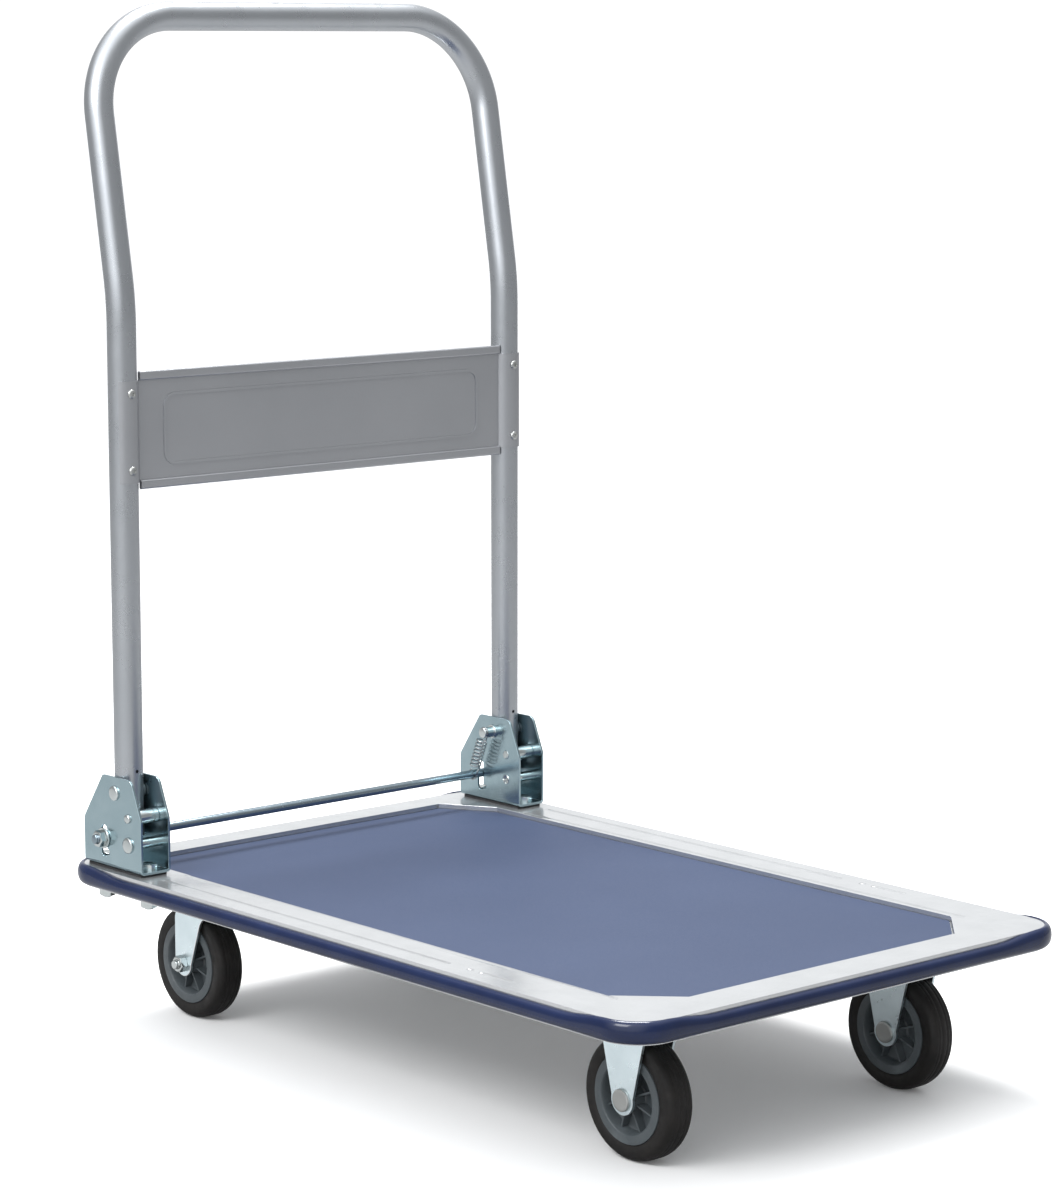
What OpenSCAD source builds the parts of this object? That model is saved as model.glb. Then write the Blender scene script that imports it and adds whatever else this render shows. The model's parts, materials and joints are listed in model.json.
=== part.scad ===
// Folding platform cart: a pressed steel deck on two fixed and two swivel casters,
// with a U-shaped push handle that folds down over the deck.
// +X is the front of the cart, +Y its left side, +Z up. The origin is on the floor
// under the middle of the deck. All sizes are in millimetres.

/* [Deck] */
// Length of the pressed steel deck
deck_length = 728; // [710:1:900]
// Width of the pressed steel deck
deck_width = 474; // [470:1:600]
// Height of the deck rim above the floor
rim_height = 140; // [140:1:150]
// Radius of the deck corners
deck_corner_r = 32; // [20:1:45]
// How far the edge bumper stands out past the deck
bumper_bulge = 6; // [4:0.5:9]

/* [Mat] */
// Length of the anti-slip mat
mat_length = 660; // [560:1:660]
// Width of the anti-slip mat
mat_width = 380; // [340:1:384]
// How far the mat's middle lies behind the deck's middle
mat_setback = 3.4; // [0:0.1:12]

/* [Handle] */
// Outside diameter of the handle tube
tube_d = 25; // [22:0.5:25]
// Distance between the middles of the two handle legs
leg_spacing = 431.2; // [400:0.2:436]
// Distance from the deck's middle back to the handle legs
leg_setback = 302.4; // [296:0.2:306]
// Height of the top tube's middle above the floor
handle_height = 872.7; // [760:0.1:950]
// Backward lean of the upper part of the handle, in degrees
handle_lean = 9.76; // [5:0.01:14]
// Radius of the two top corners of the handle
handle_corner_r = 84; // [70:1:110]
// Height at which the legs start to lean back
lean_height = 633.8; // [600:1:660]

/* [Panel] */
// Height of the handle panel's middle above the floor
panel_height = 522.5; // [500:0.5:540]
// Overall height of the handle panel over its rolled edges
panel_h = 101.5; // [90:0.5:110]

/* [Hinge bracket] */
// Height of the handle pivot above the floor
pivot_height = 209; // [208:0.5:211]
// Gap between the two walls of a bracket
bracket_gap = 26.6; // [26.6:0.1:28]
// Thickness of the bracket steel
bracket_t = 2.2; // [2:0.1:2.6]
// Diameter of the release bar
bar_d = 8; // [7:0.5:8]
// Travel of the release bar, downwards
bar_travel = 12; // [8:0.5:12]

/* [Casters] */
// Wheel diameter
wheel_d = 100; // [96:1:102]
// Wheel width
wheel_w = 26; // [24:0.5:27]
// Distance from the deck's middle forward to the front axles
front_axle_x = 271.3; // [262:0.1:275]
// Distance between the middles of the front wheels
front_track = 293.6; // [280:0.2:296]
// Distance from the deck's middle back to the rear axles
rear_axle_x = 290.8; // [286:0.1:292]
// Distance between the middles of the rear wheels
rear_track = 303.4; // [290:0.2:304]
// Distance from a swivel axis to its wheel axle
swivel_trail = 31.8; // [29:0.1:34]

/* [Hidden] */

$fn = 48;
e = 0.5;                       // how far a cutting shape runs past the face it cuts

// Colours
zinc = [0.75, 0.80, 0.82];
silver_paint = [0.68, 0.71, 0.74];
pan_silver = [0.86, 0.88, 0.90];
mat_blue = [0.33, 0.38, 0.55];
bumper_blue = [0.12, 0.18, 0.38];
panel_grey = [0.53, 0.55, 0.57];
rubber_black = [0.10, 0.09, 0.09];
hub_grey = [0.42, 0.46, 0.48];
dark_steel = [0.35, 0.37, 0.39];

// Deck section, from the rim down
sheet = 1.5;
skirt_drop = 18;
skirt_return = 4;
channel_depth = 3;             // rolled channel that the bumper's rib snaps into
channel_top = rim_height - 6.5;
channel_bottom = rim_height - 13.5;
mat_t = 2;
mat_drop = 4;                  // the mat's top lies this far below the rim
mat_top = rim_height - mat_drop;
recess_floor = mat_top - mat_t;
recess_gap = 1.2;
mat_front_chamfer = 42;
mat_rear_chamfer = [48, 29];
half_l = deck_length / 2;
half_w = deck_width / 2;

// Pressed grooves along the two long sides of the rim
groove_depth = 0.9;
inner_groove_w = 8;
outer_groove_w = 6;
inner_groove_y = half_w - 42.5;
outer_groove_y = half_w - 17;
inner_groove_x = [-250, 298];
outer_groove_x = [[-250, 134], [154, 162], [168, 208]];

// Bumper strip
bumper_half_h = 6.5;
bumper_rib = [2.8, 2.6];       // half height of the rib, and how far it reaches inwards
bumper_seam = 0.1;             // gap between the strip's back and the skirt

// Underside
hat_drop = 14;
hat_face = recess_floor - sheet - hat_drop;     // underside of the cross members
hat_t = 1.5;
hat_flange = 6;
hat_inset = 10;                // from the deck's outline to the cross members' trimmed ends
hat_half_w = half_w - hat_inset;
front_hat_x = [215, 328];
rear_hat_x = [-348, -206];
kingpin_clearance_d = 20;
stiffener_w = 70;
stiffener_drop = 10;
stiffener_flange = 12;
stiffener_gap = 14;            // from each cross member's wall

// Bracket
leg_x = -leg_setback;
leg_y = leg_spacing / 2;
pad_t = 2;
bracket_base = rim_height + pad_t;
bracket_top = 223.3;
bracket_half = bracket_gap / 2 + bracket_t;
bracket_bend_r = 3.6;
wall_x = [leg_x - 46.6, leg_x + 38.2];         // rear and front edges of a bracket wall
wall_top_x = [leg_x - 17.9, leg_x + 24.2];
wall_shoulder_z = [182, 190];
pad_size = [78, 27];
pad_back = leg_x - 43;
pivot_pin_d = 10;
pivot_pin_reach = 12.5;        // past the bracket's inner wall
pivot_pin_head = [12, 2.2];    // diameter and thickness
pin_groove_w = 2.4;
stop_offset = 19.6;            // the upper stop pin lies this far in front of and below the pivot
stop_pin_d = 8;
stop_pin_reach = 2.2;          // past the outer wall
pin_stake = 0.4;               // how far a staked pin end stands past the inner wall
sleeve_d = 12.8;
sleeve_clearance = 0.1;
sleeve_groove_w = 1.4;
lower_stop_drop = 43;
lower_stop_d = 9;
lower_stop_head = [14, 2.2];                    // diameter and thickness
bracket_play = 0.4;            // end float of what turns between the two walls

// M8 fasteners
bolt_d = 8;
bolt_hole_d = 8.6;
hex_af = 13;
head_h = 5.3;
nut_h = 6.5;
washer_d = 16;
washer_t = 1.4;
spacer_d = 14;
bracket_bolt_x = [leg_x - 35.4, leg_x + 26.9];
bracket_bolt_end = 109;

// Release bar and its two extension springs
bar_x = leg_x - 16.6;
bar_z = pivot_height - 42;
bar_end = leg_y + bracket_half + 11;
washer_seat_y = leg_y + bracket_half + 0.3;
bar_washer_d = 18;
bar_washer_t = 1.6;
bar_nut_h = 6;
slot_w = bar_d + 0.7;
slot_top = 179;
slot_foot = 5;
slot_slack = 0.4;              // left under the bar at the end of its travel
spring_y = leg_y - bracket_half - 10;
spring_wire = 1.3;
spring_r = 4.6;
spring_turns = 12;
spring_steps = 12;             // rings of points in one turn
wire_sides = 6;
hook_r = 5.1;
hook_span = 8;                 // from a hook's middle to the end of the coil

// Handle tube
tube_bore = tube_d - 3;
stub_end = pivot_height - 38.5;
lean_bend_r = 250;
bush_d = 14;
lean_start = lean_height - lean_bend_r * tan(handle_lean / 2);
lean_end_x = leg_x - lean_bend_r * (1 - cos(handle_lean));
lean_end_z = lean_start + lean_bend_r * sin(handle_lean);
lean_len = (handle_height - lean_end_z) / cos(handle_lean) - handle_corner_r;

vent_z = pivot_height + 19;
vent_d = 3;

// Panel
panel_t = 1.2;
panel_x = leg_x + 5.4;
hem_size = [3.6, 8];           // depth and height of the folded edges
hem_end = leg_y - 12.6;
plate_end = leg_y - 10.6;
plate_mid_z = panel_height - 0.5;
tab_h = 87.5;
saddle_r = tube_d / 2 + 0.05;
saddle_angles = [-66, -25, 20, 50];
frame_size = [62.5, 355];
frame_corner_r = 12;
frame_line = 2.4;
frame_rise = 0.9;
rivet_pitch = 66;
rivet_d = 4;

// Casters
axle_z = wheel_d / 2;
axle_d = 8;
running = 0.05;                // radial clearance of a shaft in its bush
tyre_seat_r = 36.3;
hub_ring_r = 28;
boss_r = 9.5;
web_t = 4;
rib_count = 8;
rib_t = 2;
rib_inset = 3.5;
wheel_bush_d = 12;
plate_t = 3;
plate_size = [90, 68];
plate_under = hat_face - plate_t;
fork_gap = 30.4;
fork_t = 2.5;
fork_out = fork_gap / 2 + fork_t;
leg_offset = (fork_gap + fork_t) / 2;
axle_hole_reach = fork_out + 5;
caster_bolt = [34, 24];        // half the bolt spacing along X and Y
caster_bolt_length = 15;
front_leg_half_w = 27.5;
front_tip_r = 12;
axle_head = [18, 2.4];         // diameter and thickness of a riveted axle head
crown_z = 103;
crown_r = 28;
crown_wall = [2, 9];           // thickness and height of the ball race's outer wall
crown_x = [-33, 21];
race_r = 20;
ball_d = 5.6;
ball_count = 16;
upper_race = [51, 32];         // outer and inner diameters
upper_race_z = crown_z + 9.2;
kingpin_d = 12;
kingpin_head_d = 18;
kingpin_bottom = crown_z - 5;
rear_tip_r = 11.5;
rear_axle_end = 10;
swivel_x = -(rear_axle_x - swivel_trail);

// ---------- shared shapes ----------

function unit(v) = v / norm(v);

// Points of the arc that rounds corner b, coming from a and going on to c.
function corner_arc(a, b, c, r, n) =
    let (
        u = unit(a - b),
        w = unit(c - b),
        half = acos(u * w) / 2,
        centre = b + unit(u + w) * r / sin(half),
        p = b + u * r / tan(half) - centre,
        q = b + w * r / tan(half) - centre,
        start = atan2(p.y, p.x),
        sweep = (atan2(q.y, q.x) - start + 540) % 360 - 180
    )
    [for (i = [0 : n]) centre + r * [cos(start + sweep * i / n), sin(start + sweep * i / n)]];

// An outline with corner i rounded to radii[i]; a radius of 0 leaves the corner sharp.
function rounded(points, radii, n = 6) =
    let (count = len(points))
    [for (i = [0 : count - 1])
        each radii[i] > 0
            ? corner_arc(points[(i + count - 1) % count], points[i], points[(i + 1) % count], radii[i], n)
            : [points[i]]];

// Puts the +Y half's shapes on the chosen side: 1 is left (+Y), -1 is right (-Y).
module on_side(side) {
    if (side > 0) children();
    else mirror([0, 1, 0]) children();
}

module both_sides() {
    for (side = [1, -1]) on_side(side) children();
}

// A block with round vertical corners, centred on the origin in X and Y.
module round_block(size, r, z0, z1) {
    h = z1 - z0;
    translate([-size.x / 2 + r, -size.y / 2, z0]) cube([size.x - 2 * r, size.y, h]);
    translate([-size.x / 2, -size.y / 2 + r, z0]) cube([size.x, size.y - 2 * r, h]);
    for (sx = [-1, 1], sy = [-1, 1])
        translate([sx * (size.x / 2 - r), sy * (size.y / 2 - r), z0]) cylinder(h = h, r = r);
}

// The deck outline, pulled in by inset on every side.
module deck_block(inset, z0, z1) {
    round_block([deck_length - 2 * inset, deck_width - 2 * inset], deck_corner_r - inset, z0, z1);
}

module deck_ring(outer_inset, inner_inset, z0, z1) {
    difference() {
        deck_block(outer_inset, z0, z1);
        deck_block(inner_inset, z0 - e, z1 + e);
    }
}

// The mat outline with its cut corners, grown by grow on every side.
module mat_block(grow, z0, z1) {
    front = mat_length / 2 + grow;
    side = mat_width / 2 + grow;
    fc = mat_front_chamfer + grow / 2;
    rc = mat_rear_chamfer + [grow / 2, grow / 2];
    translate([-mat_setback, 0, z0])
        linear_extrude(z1 - z0)
            polygon([
                [front, side - fc], [front - fc, side],
                [-front + rc.x, side], [-front, side - rc.y],
                [-front, -side + rc.y], [-front + rc.x, -side],
                [front - fc, -side], [front, -side + fc],
            ]);
}

// A shaft along Y between y0 and y1.
module y_shaft(d, y0, y1) {
    translate([0, y0, 0]) rotate([-90, 0, 0]) cylinder(h = y1 - y0, d = d);
}

// A shaft along X between x0 and x1.
module x_shaft(d, x0, x1) {
    translate([x0, 0, 0]) rotate([0, 90, 0]) cylinder(h = x1 - x0, d = d);
}

// A hexagonal prism along Z.
module hex_prism(af, h) {
    cylinder(h = h, d = af / cos(30), $fn = 6);
}

// A hexagonal nut standing on z = 0, bored for a bolt.
module nut(af, h, hole) {
    difference() {
        hex_prism(af, h);
        translate([0, 0, -e]) cylinder(h = h + 2 * e, d = hole);
    }
}

// A bolt whose head sits above z = 0 and whose shank hangs below it.
module bolt(af, head_h, d, shank) {
    hex_prism(af, head_h);
    translate([0, 0, -shank]) cylinder(h = shank + e, d = d);
}

module ring(od, id, h) {
    difference() {
        cylinder(h = h, d = od);
        translate([0, 0, -e]) cylinder(h = h + 2 * e, d = id);
    }
}

module at_bracket_bolts() {
    both_sides()
        for (x = bracket_bolt_x) translate([x, leg_y, 0]) children();
}

module at_caster_bolts(x, track) {
    both_sides()
        for (sx = [-1, 1], sy = [-1, 1])
            translate([x + sx * caster_bolt.x, track / 2 + sy * caster_bolt.y, 0]) children();
}

// ---------- deck ----------

// A shallow round-bottomed groove along X, with round ends.
module groove(run, y, w) {
    r = (w * w / 4 + groove_depth * groove_depth) / (2 * groove_depth);
    z = rim_height - groove_depth + r;
    start = run[0] + w / 2;
    end = run[1] - w / 2;
    translate([start, y, z]) rotate([0, 90, 0]) cylinder(h = end - start, r = r);
    for (x = [start, end]) translate([x, y, z]) sphere(r = r);
}

module rim_grooves() {
    both_sides() {
        groove(inner_groove_x, inner_groove_y, inner_groove_w);
        for (run = outer_groove_x) groove(run, outer_groove_y, outer_groove_w);
    }
}

module deck_pan() {
    skirt_end = rim_height - skirt_drop;
    color(pan_silver)
        difference() {
            union() {
                difference() {
                    deck_block(0, skirt_end, rim_height);
                    deck_block(sheet, skirt_end + sheet, rim_height - sheet);
                    deck_block(skirt_return, skirt_end - e, skirt_end + sheet + e);
                    deck_ring(-e, channel_depth, channel_bottom, channel_top);
                }
                deck_ring(sheet / 2, channel_depth + sheet, channel_bottom - sheet, channel_bottom);
                deck_ring(sheet / 2, channel_depth + sheet, channel_top, channel_top + sheet);
                deck_ring(channel_depth, channel_depth + sheet, channel_bottom, channel_top);
                mat_block(recess_gap + sheet, recess_floor - sheet, rim_height - sheet / 2);
            }
            mat_block(recess_gap, recess_floor, rim_height + e);
            rim_grooves();
            at_bracket_bolts()
                translate([0, 0, rim_height - sheet - e]) cylinder(h = sheet + 2 * e, d = bolt_hole_d);
        }
}

module anti_slip_mat() {
    color(mat_blue) mat_block(0, recess_floor, mat_top);
}

// Cross section of the bumper strip: x is outwards from the skirt, y is the height.
function bumper_section() =
    let (
        back = bumper_seam,
        middle = (channel_top + channel_bottom) / 2,
        low = middle - bumper_half_h,
        high = middle + bumper_half_h,
        rib_low = middle - bumper_rib[0],
        rib_high = middle + bumper_rib[0],
        rib_x = -bumper_rib[1]
    )
    concat(
        [[back, low]],
        [for (a = [-80 : 20 : 80]) [bumper_bulge * cos(a), middle + bumper_half_h * sin(a)]],
        [[back, high], [back, rib_high], [rib_x, rib_high], [rib_x, rib_low], [back, rib_low]]
    );

module bumper_side(length) {
    rotate([90, 0, 0]) linear_extrude(length, center = true) polygon(bumper_section());
}

module edge_bumper() {
    straight_x = deck_length - 2 * deck_corner_r;
    straight_y = deck_width - 2 * deck_corner_r;
    color(bumper_blue) {
        for (turn = [0, 180]) rotate(turn) translate([half_l, 0, 0]) bumper_side(straight_y);
        for (turn = [90, 270]) rotate(turn) translate([half_w, 0, 0]) bumper_side(straight_x);
        for (sx = [0, 1], sy = [0, 1])
            mirror([sx, 0, 0]) mirror([0, sy, 0])
                translate([half_l - deck_corner_r, half_w - deck_corner_r, 0])
                    rotate_extrude(angle = 90) translate([deck_corner_r, 0]) polygon(bumper_section());
    }
}

// ---------- underside ----------

// A hat section along Y: a flat face below, two walls and two flanges above. Its corners are
// trimmed to follow the deck's outline.
module hat_channel(run) {
    width = run[1] - run[0];
    intersection() {
        deck_block(hat_inset, hat_face - e, hat_face + hat_drop + e);
        difference() {
            union() {
                translate([run[0], -hat_half_w, hat_face]) cube([width, 2 * hat_half_w, hat_drop]);
                translate([run[0] - hat_flange, -hat_half_w, hat_face + hat_drop - hat_t])
                    cube([width + 2 * hat_flange, 2 * hat_half_w, hat_t]);
            }
            translate([run[0] + hat_t, -hat_half_w - e, hat_face + hat_t])
                cube([width - 2 * hat_t, 2 * hat_half_w + 2 * e, hat_drop]);
        }
    }
}

// A hole through the flat face of a cross member.
module hat_hole(d) {
    translate([0, 0, hat_face - e]) cylinder(h = hat_t + 2 * e, d = d);
}

module front_cross_member() {
    color(pan_silver)
        difference() {
            hat_channel(front_hat_x);
            at_caster_bolts(front_axle_x, front_track) hat_hole(bolt_hole_d);
        }
}

module rear_cross_member() {
    color(pan_silver)
        difference() {
            hat_channel(rear_hat_x);
            at_caster_bolts(swivel_x, rear_track) hat_hole(bolt_hole_d);
            at_bracket_bolts() hat_hole(bolt_hole_d);
            both_sides() translate([swivel_x, rear_track / 2, 0]) hat_hole(kingpin_clearance_d);
        }
}

module centre_stiffener() {
    top = recess_floor - sheet;
    x0 = rear_hat_x[1] + stiffener_gap;
    length = front_hat_x[0] - stiffener_gap - x0;
    color(pan_silver) {
        difference() {
            translate([x0, -stiffener_w / 2, top - stiffener_drop])
                cube([length, stiffener_w, stiffener_drop]);
            translate([x0 - e, -stiffener_w / 2 + hat_t, top - stiffener_drop + hat_t])
                cube([length + 2 * e, stiffener_w - 2 * hat_t, stiffener_drop]);
        }
        for (y = [-stiffener_w / 2 - stiffener_flange, stiffener_w / 2 - hat_t])
            translate([x0, y, top - hat_t]) cube([length, stiffener_flange + hat_t, hat_t]);
    }
}

// ---------- hinge brackets ----------

// Side outline of a bracket wall, as [x, z].
function bracket_outline() = rounded(
    [
        [wall_x[0], bracket_base], [wall_x[0], wall_shoulder_z[0]], [wall_top_x[0], bracket_top],
        [wall_top_x[1], bracket_top], [wall_x[1], wall_shoulder_z[1]], [wall_x[1], bracket_base],
    ],
    [0, 8, 4, 8, 8, 0]
);

// Cross section of the bent plate, as [y, z] about the leg's middle.
function channel_section() =
    let (
        o = bracket_half,
        i = bracket_half - bracket_t,
        top = bracket_top + 1,
        floor_z = bracket_base + bracket_t,
        inner_r = bracket_bend_r - bracket_t
    )
    rounded(
        [
            [-o, top], [-o, bracket_base], [o, bracket_base], [o, top],
            [i, top], [i, floor_z], [-i, floor_z], [-i, top],
        ],
        [0, bracket_bend_r, bracket_bend_r, 0, 0, inner_r, inner_r, 0]
    );

// The release slot: a straight run with a short foot that turns forward at the bottom.
module release_slot() {
    r = slot_w / 2;
    foot_r = r - 1.5;
    reach = bracket_half + e;
    low = bar_z - bar_travel - bar_d / 2 - slot_slack + r;
    high = slot_top - r;
    for (z = [low, high]) translate([bar_x, 0, z]) y_shaft(2 * r, -reach, reach);
    translate([bar_x - r, -reach, low]) cube([2 * r, 2 * reach, high - low]);
    translate([bar_x + slot_foot, 0, low]) y_shaft(2 * foot_r, -reach, reach);
    translate([bar_x, -reach, low - foot_r]) cube([slot_foot, 2 * reach, 2 * foot_r]);
}

module handle_bracket() {
    reach = bracket_half + e;
    translate([0, leg_y, 0])
        difference() {
            intersection() {
                translate([0, bracket_half, 0])
                    rotate([90, 0, 0]) linear_extrude(2 * bracket_half) polygon(bracket_outline());
                translate([wall_x[0] - e, 0, 0])
                    rotate([90, 0, 90])
                        linear_extrude(wall_x[1] - wall_x[0] + 2 * e) polygon(channel_section());
            }
            translate([leg_x, 0, pivot_height]) y_shaft(pivot_pin_d, -reach, reach);
            translate([leg_x + stop_offset, 0, pivot_height - stop_offset])
                y_shaft(stop_pin_d, -reach, reach);
            translate([leg_x + stop_offset, 0, pivot_height - lower_stop_drop])
                y_shaft(lower_stop_d, -reach, reach);
            release_slot();
            for (x = bracket_bolt_x)
                translate([x, 0, bracket_base - e]) cylinder(h = bracket_t + 2 * e, d = bolt_hole_d);
        }
}

module left_handle_bracket() {
    color(zinc) on_side(1) handle_bracket();
}

module right_handle_bracket() {
    color(zinc) on_side(-1) handle_bracket();
}

module bracket_pads() {
    color(rubber_black)
        both_sides()
            difference() {
                translate([pad_back, leg_y - pad_size.y / 2, rim_height])
                    cube([pad_size.x, pad_size.y, pad_t]);
                for (x = bracket_bolt_x)
                    translate([x, leg_y, rim_height - e]) cylinder(h = pad_t + 2 * e, d = bolt_hole_d);
            }
}

module bracket_bolts() {
    seat = bracket_base + bracket_t;
    color(zinc)
        at_bracket_bolts() translate([0, 0, seat]) bolt(hex_af, head_h, bolt_d, seat - bracket_bolt_end);
}

module bracket_washers() {
    color(zinc)
        at_bracket_bolts() translate([0, 0, hat_face - washer_t]) ring(washer_d, bolt_hole_d, washer_t);
}

module bracket_nuts() {
    color(zinc)
        at_bracket_bolts() translate([0, 0, hat_face - washer_t - nut_h]) nut(hex_af, nut_h, bolt_d);
}

module bracket_spacers() {
    z0 = hat_face + hat_t;
    color(dark_steel)
        at_bracket_bolts() translate([0, 0, z0]) ring(spacer_d, bolt_hole_d, rim_height - sheet - z0);
}

// The ring that cuts a groove round a shaft of diameter d along Y.
module groove_cutter(d, depth, width) {
    difference() {
        y_shaft(d + 2, -width / 2, width / 2);
        y_shaft(d - 2 * depth, -width, width);
    }
}

// The pin sticks out past the inner wall, where a groove holds the spring's hook.
module pivot_pins() {
    collar_t = 1.5;
    inner = -bracket_half - pivot_pin_reach;
    color(zinc)
        both_sides()
            translate([leg_x, leg_y, pivot_height])
                difference() {
                    union() {
                        y_shaft(pivot_pin_d, inner, bracket_half + 1);
                        y_shaft(pivot_pin_d + 3, -bracket_half - collar_t, -bracket_half);
                        y_shaft(pivot_pin_head[0], bracket_half, bracket_half + pivot_pin_head[1]);
                    }
                    translate([0, spring_y - leg_y, 0])
                        groove_cutter(pivot_pin_d, 1, pin_groove_w);
                }
}

module upper_stop_pins() {
    color(zinc)
        both_sides()
            translate([leg_x + stop_offset, leg_y, pivot_height - stop_offset])
                y_shaft(stop_pin_d, -bracket_half - pin_stake, bracket_half + stop_pin_reach);
}

module stop_sleeves() {
    end = (bracket_gap - bracket_play) / 2;
    color(zinc)
        both_sides()
            translate([leg_x + stop_offset, leg_y, pivot_height - stop_offset])
                difference() {
                    y_shaft(sleeve_d, -end, end);
                    y_shaft(stop_pin_d + 2 * sleeve_clearance, -end - e, end + e);
                    translate([0, 5 - end, 0]) groove_cutter(sleeve_d, 0.7, sleeve_groove_w);
                }
}

module lower_stop_pins() {
    color(zinc)
        both_sides()
            translate([leg_x + stop_offset, leg_y, pivot_height - lower_stop_drop]) {
                y_shaft(lower_stop_d, -bracket_half - pin_stake, bracket_half + 1);
                y_shaft(lower_stop_head[0], bracket_half, bracket_half + lower_stop_head[1]);
            }
}

// ---------- release bar ----------

module release_bar() {
    color(zinc) translate([bar_x, 0, bar_z]) y_shaft(bar_d, -bar_end, bar_end);
}

module release_bar_washers() {
    color(zinc)
        both_sides()
            translate([bar_x, washer_seat_y, bar_z])
                difference() {
                    y_shaft(bar_washer_d, 0, bar_washer_t);
                    y_shaft(bar_d, -e, bar_washer_t + e);
                }
}

module release_bar_nuts() {
    color(zinc)
        both_sides()
            translate([bar_x, washer_seat_y + bar_washer_t, bar_z])
                rotate([-90, 30, 0]) nut(hex_af, bar_nut_h, bar_d);
}

// Ring of points round the wire at angle a along the coil, about the coil's own axis.
function wire_ring(a, z) =
    [for (k = [0 : wire_sides - 1])
        let (t = 360 * k / wire_sides, out = spring_r + spring_wire / 2 * cos(t))
        [out * cos(a), out * sin(a), z + spring_wire / 2 * sin(t)]];

// The coil stands on z = 0 and is length long.
module coil(length) {
    n = wire_sides;
    count = spring_turns * spring_steps;
    points = [for (i = [0 : count]) each wire_ring(360 * i / spring_steps, length * i / count)];
    walls = [for (i = [0 : count - 1], k = [0 : n - 1])
        [i * n + (k + 1) % n, (i + 1) * n + (k + 1) % n, (i + 1) * n + k, i * n + k]];
    start = [for (k = [n - 1 : -1 : 0]) k];
    end = [for (k = [0 : n - 1]) count * n + k];
    polyhedron(points, concat(walls, [start, end]), convexity = 8);
}

// Three quarters of a ring round a pin, then a straight end that joins the coil.
module spring_hook() {
    rotate([90, 0, 0])
        rotate([0, 0, -180])
            rotate_extrude(angle = 270) translate([hook_r, 0]) circle(d = spring_wire, $fn = 16);
    translate([0, 0, hook_r]) rotate([0, 90, 0]) cylinder(h = spring_r, d = spring_wire, $fn = 16);
    translate([spring_r, 0, hook_r]) cylinder(h = hook_span - hook_r, d = spring_wire, $fn = 16);
}

// Extension spring between the release bar and the pivot pin's end.
module return_spring() {
    rise = [leg_x - bar_x, pivot_height - bar_z];
    span = norm(rise);
    translate([bar_x, spring_y, bar_z])
        rotate([0, atan2(rise.x, rise.y), 0]) {
            translate([0, 0, hook_span]) coil(span - 2 * hook_span);
            spring_hook();
            translate([0, 0, span]) mirror([0, 0, 1]) spring_hook();
        }
}

module left_return_spring() {
    color(zinc) on_side(1) return_spring();
}

module right_return_spring() {
    color(zinc) on_side(-1) return_spring();
}

// ---------- handle ----------

// The left half of the handle as a solid rod of diameter d, from its lower end to y = 0.
// A hair-thin collar covers the place where the bend runs into the leaning leg.
module handle_rod(d, lower_end) {
    translate([leg_x, leg_y, lower_end]) cylinder(h = lean_start - lower_end, d = d);
    translate([leg_x - lean_bend_r, leg_y, lean_start])
        rotate([90, 0, 0]) rotate_extrude(angle = handle_lean)
            translate([lean_bend_r, 0]) circle(d = d);
    translate([lean_end_x, 0, lean_end_z])
        rotate([0, -handle_lean, 0]) {
            translate([0, leg_y, 0]) cylinder(h = lean_len, d = d);
            translate([0, leg_y, -0.5]) cylinder(h = 1, d = d + 0.04);
            translate([0, leg_y - handle_corner_r, lean_len])
                rotate([90, 0, 90]) rotate_extrude(angle = 90)
                    translate([handle_corner_r, 0]) circle(d = d);
            translate([0, 0, lean_len + handle_corner_r]) y_shaft(d, 0, leg_y - handle_corner_r);
        }
}

module at_rivets() {
    both_sides()
        for (s = [-1, 1]) translate([leg_x, leg_y, plate_mid_z + s * rivet_pitch / 2]) children();
}

module handle_tube() {
    color(silver_paint)
        difference() {
            both_sides() handle_rod(tube_d, stub_end);
            both_sides() handle_rod(tube_bore, stub_end - e);
            both_sides() translate([leg_x, leg_y, pivot_height]) y_shaft(bush_d, -tube_d, tube_d);
            both_sides() translate([leg_x, leg_y, vent_z]) x_shaft(vent_d, 0, tube_d);
            at_rivets() x_shaft(rivet_d, 0, tube_d);
        }
}

module pivot_bushes() {
    end = (bracket_gap - bracket_play) / 2;
    color(dark_steel)
        both_sides()
            translate([leg_x, leg_y, pivot_height])
                difference() {
                    y_shaft(bush_d, -end, end);
                    y_shaft(pivot_pin_d + 2 * running, -end - e, end + e);
                }
}

// Plan view of the flat plate with a saddle at each end that wraps the front of a leg.
module plate_plan() {
    difference() {
        union() {
            translate([panel_x - panel_t / 2, -plate_end]) square([panel_t, 2 * plate_end]);
            for (s = [-1, 1])
                translate([leg_x, s * leg_y])
                    intersection() {
                        circle(r = saddle_r + panel_t);
                        scale([1, s]) polygon(saddle_wedge());
                    }
        }
        for (s = [-1, 1]) translate([leg_x, s * leg_y]) circle(r = saddle_r);
    }
}

// The sector that a saddle fills, from inside the plate round to the outside of the leg.
function saddle_wedge() =
    [[0, 0], for (a = saddle_angles) 2 * tube_d * [cos(a), sin(a)]];

// A flat oval with its long side along y.
module oval(size) {
    straight = size.y - size.x;
    square([size.x, straight], center = true);
    for (s = [-1, 1]) translate([0, s * straight / 2]) circle(d = size.x);
}

// One folded edge in front of the plate, open at both ends.
module panel_hem(z) {
    translate([panel_x + (hem_size.x - panel_t) / 2, 0, z])
        rotate([90, 0, 0])
            difference() {
                linear_extrude(2 * hem_end, center = true) oval(hem_size);
                linear_extrude(2 * hem_end + 2 * e, center = true)
                    oval(hem_size - 2 * [panel_t, panel_t]);
            }
}

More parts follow.
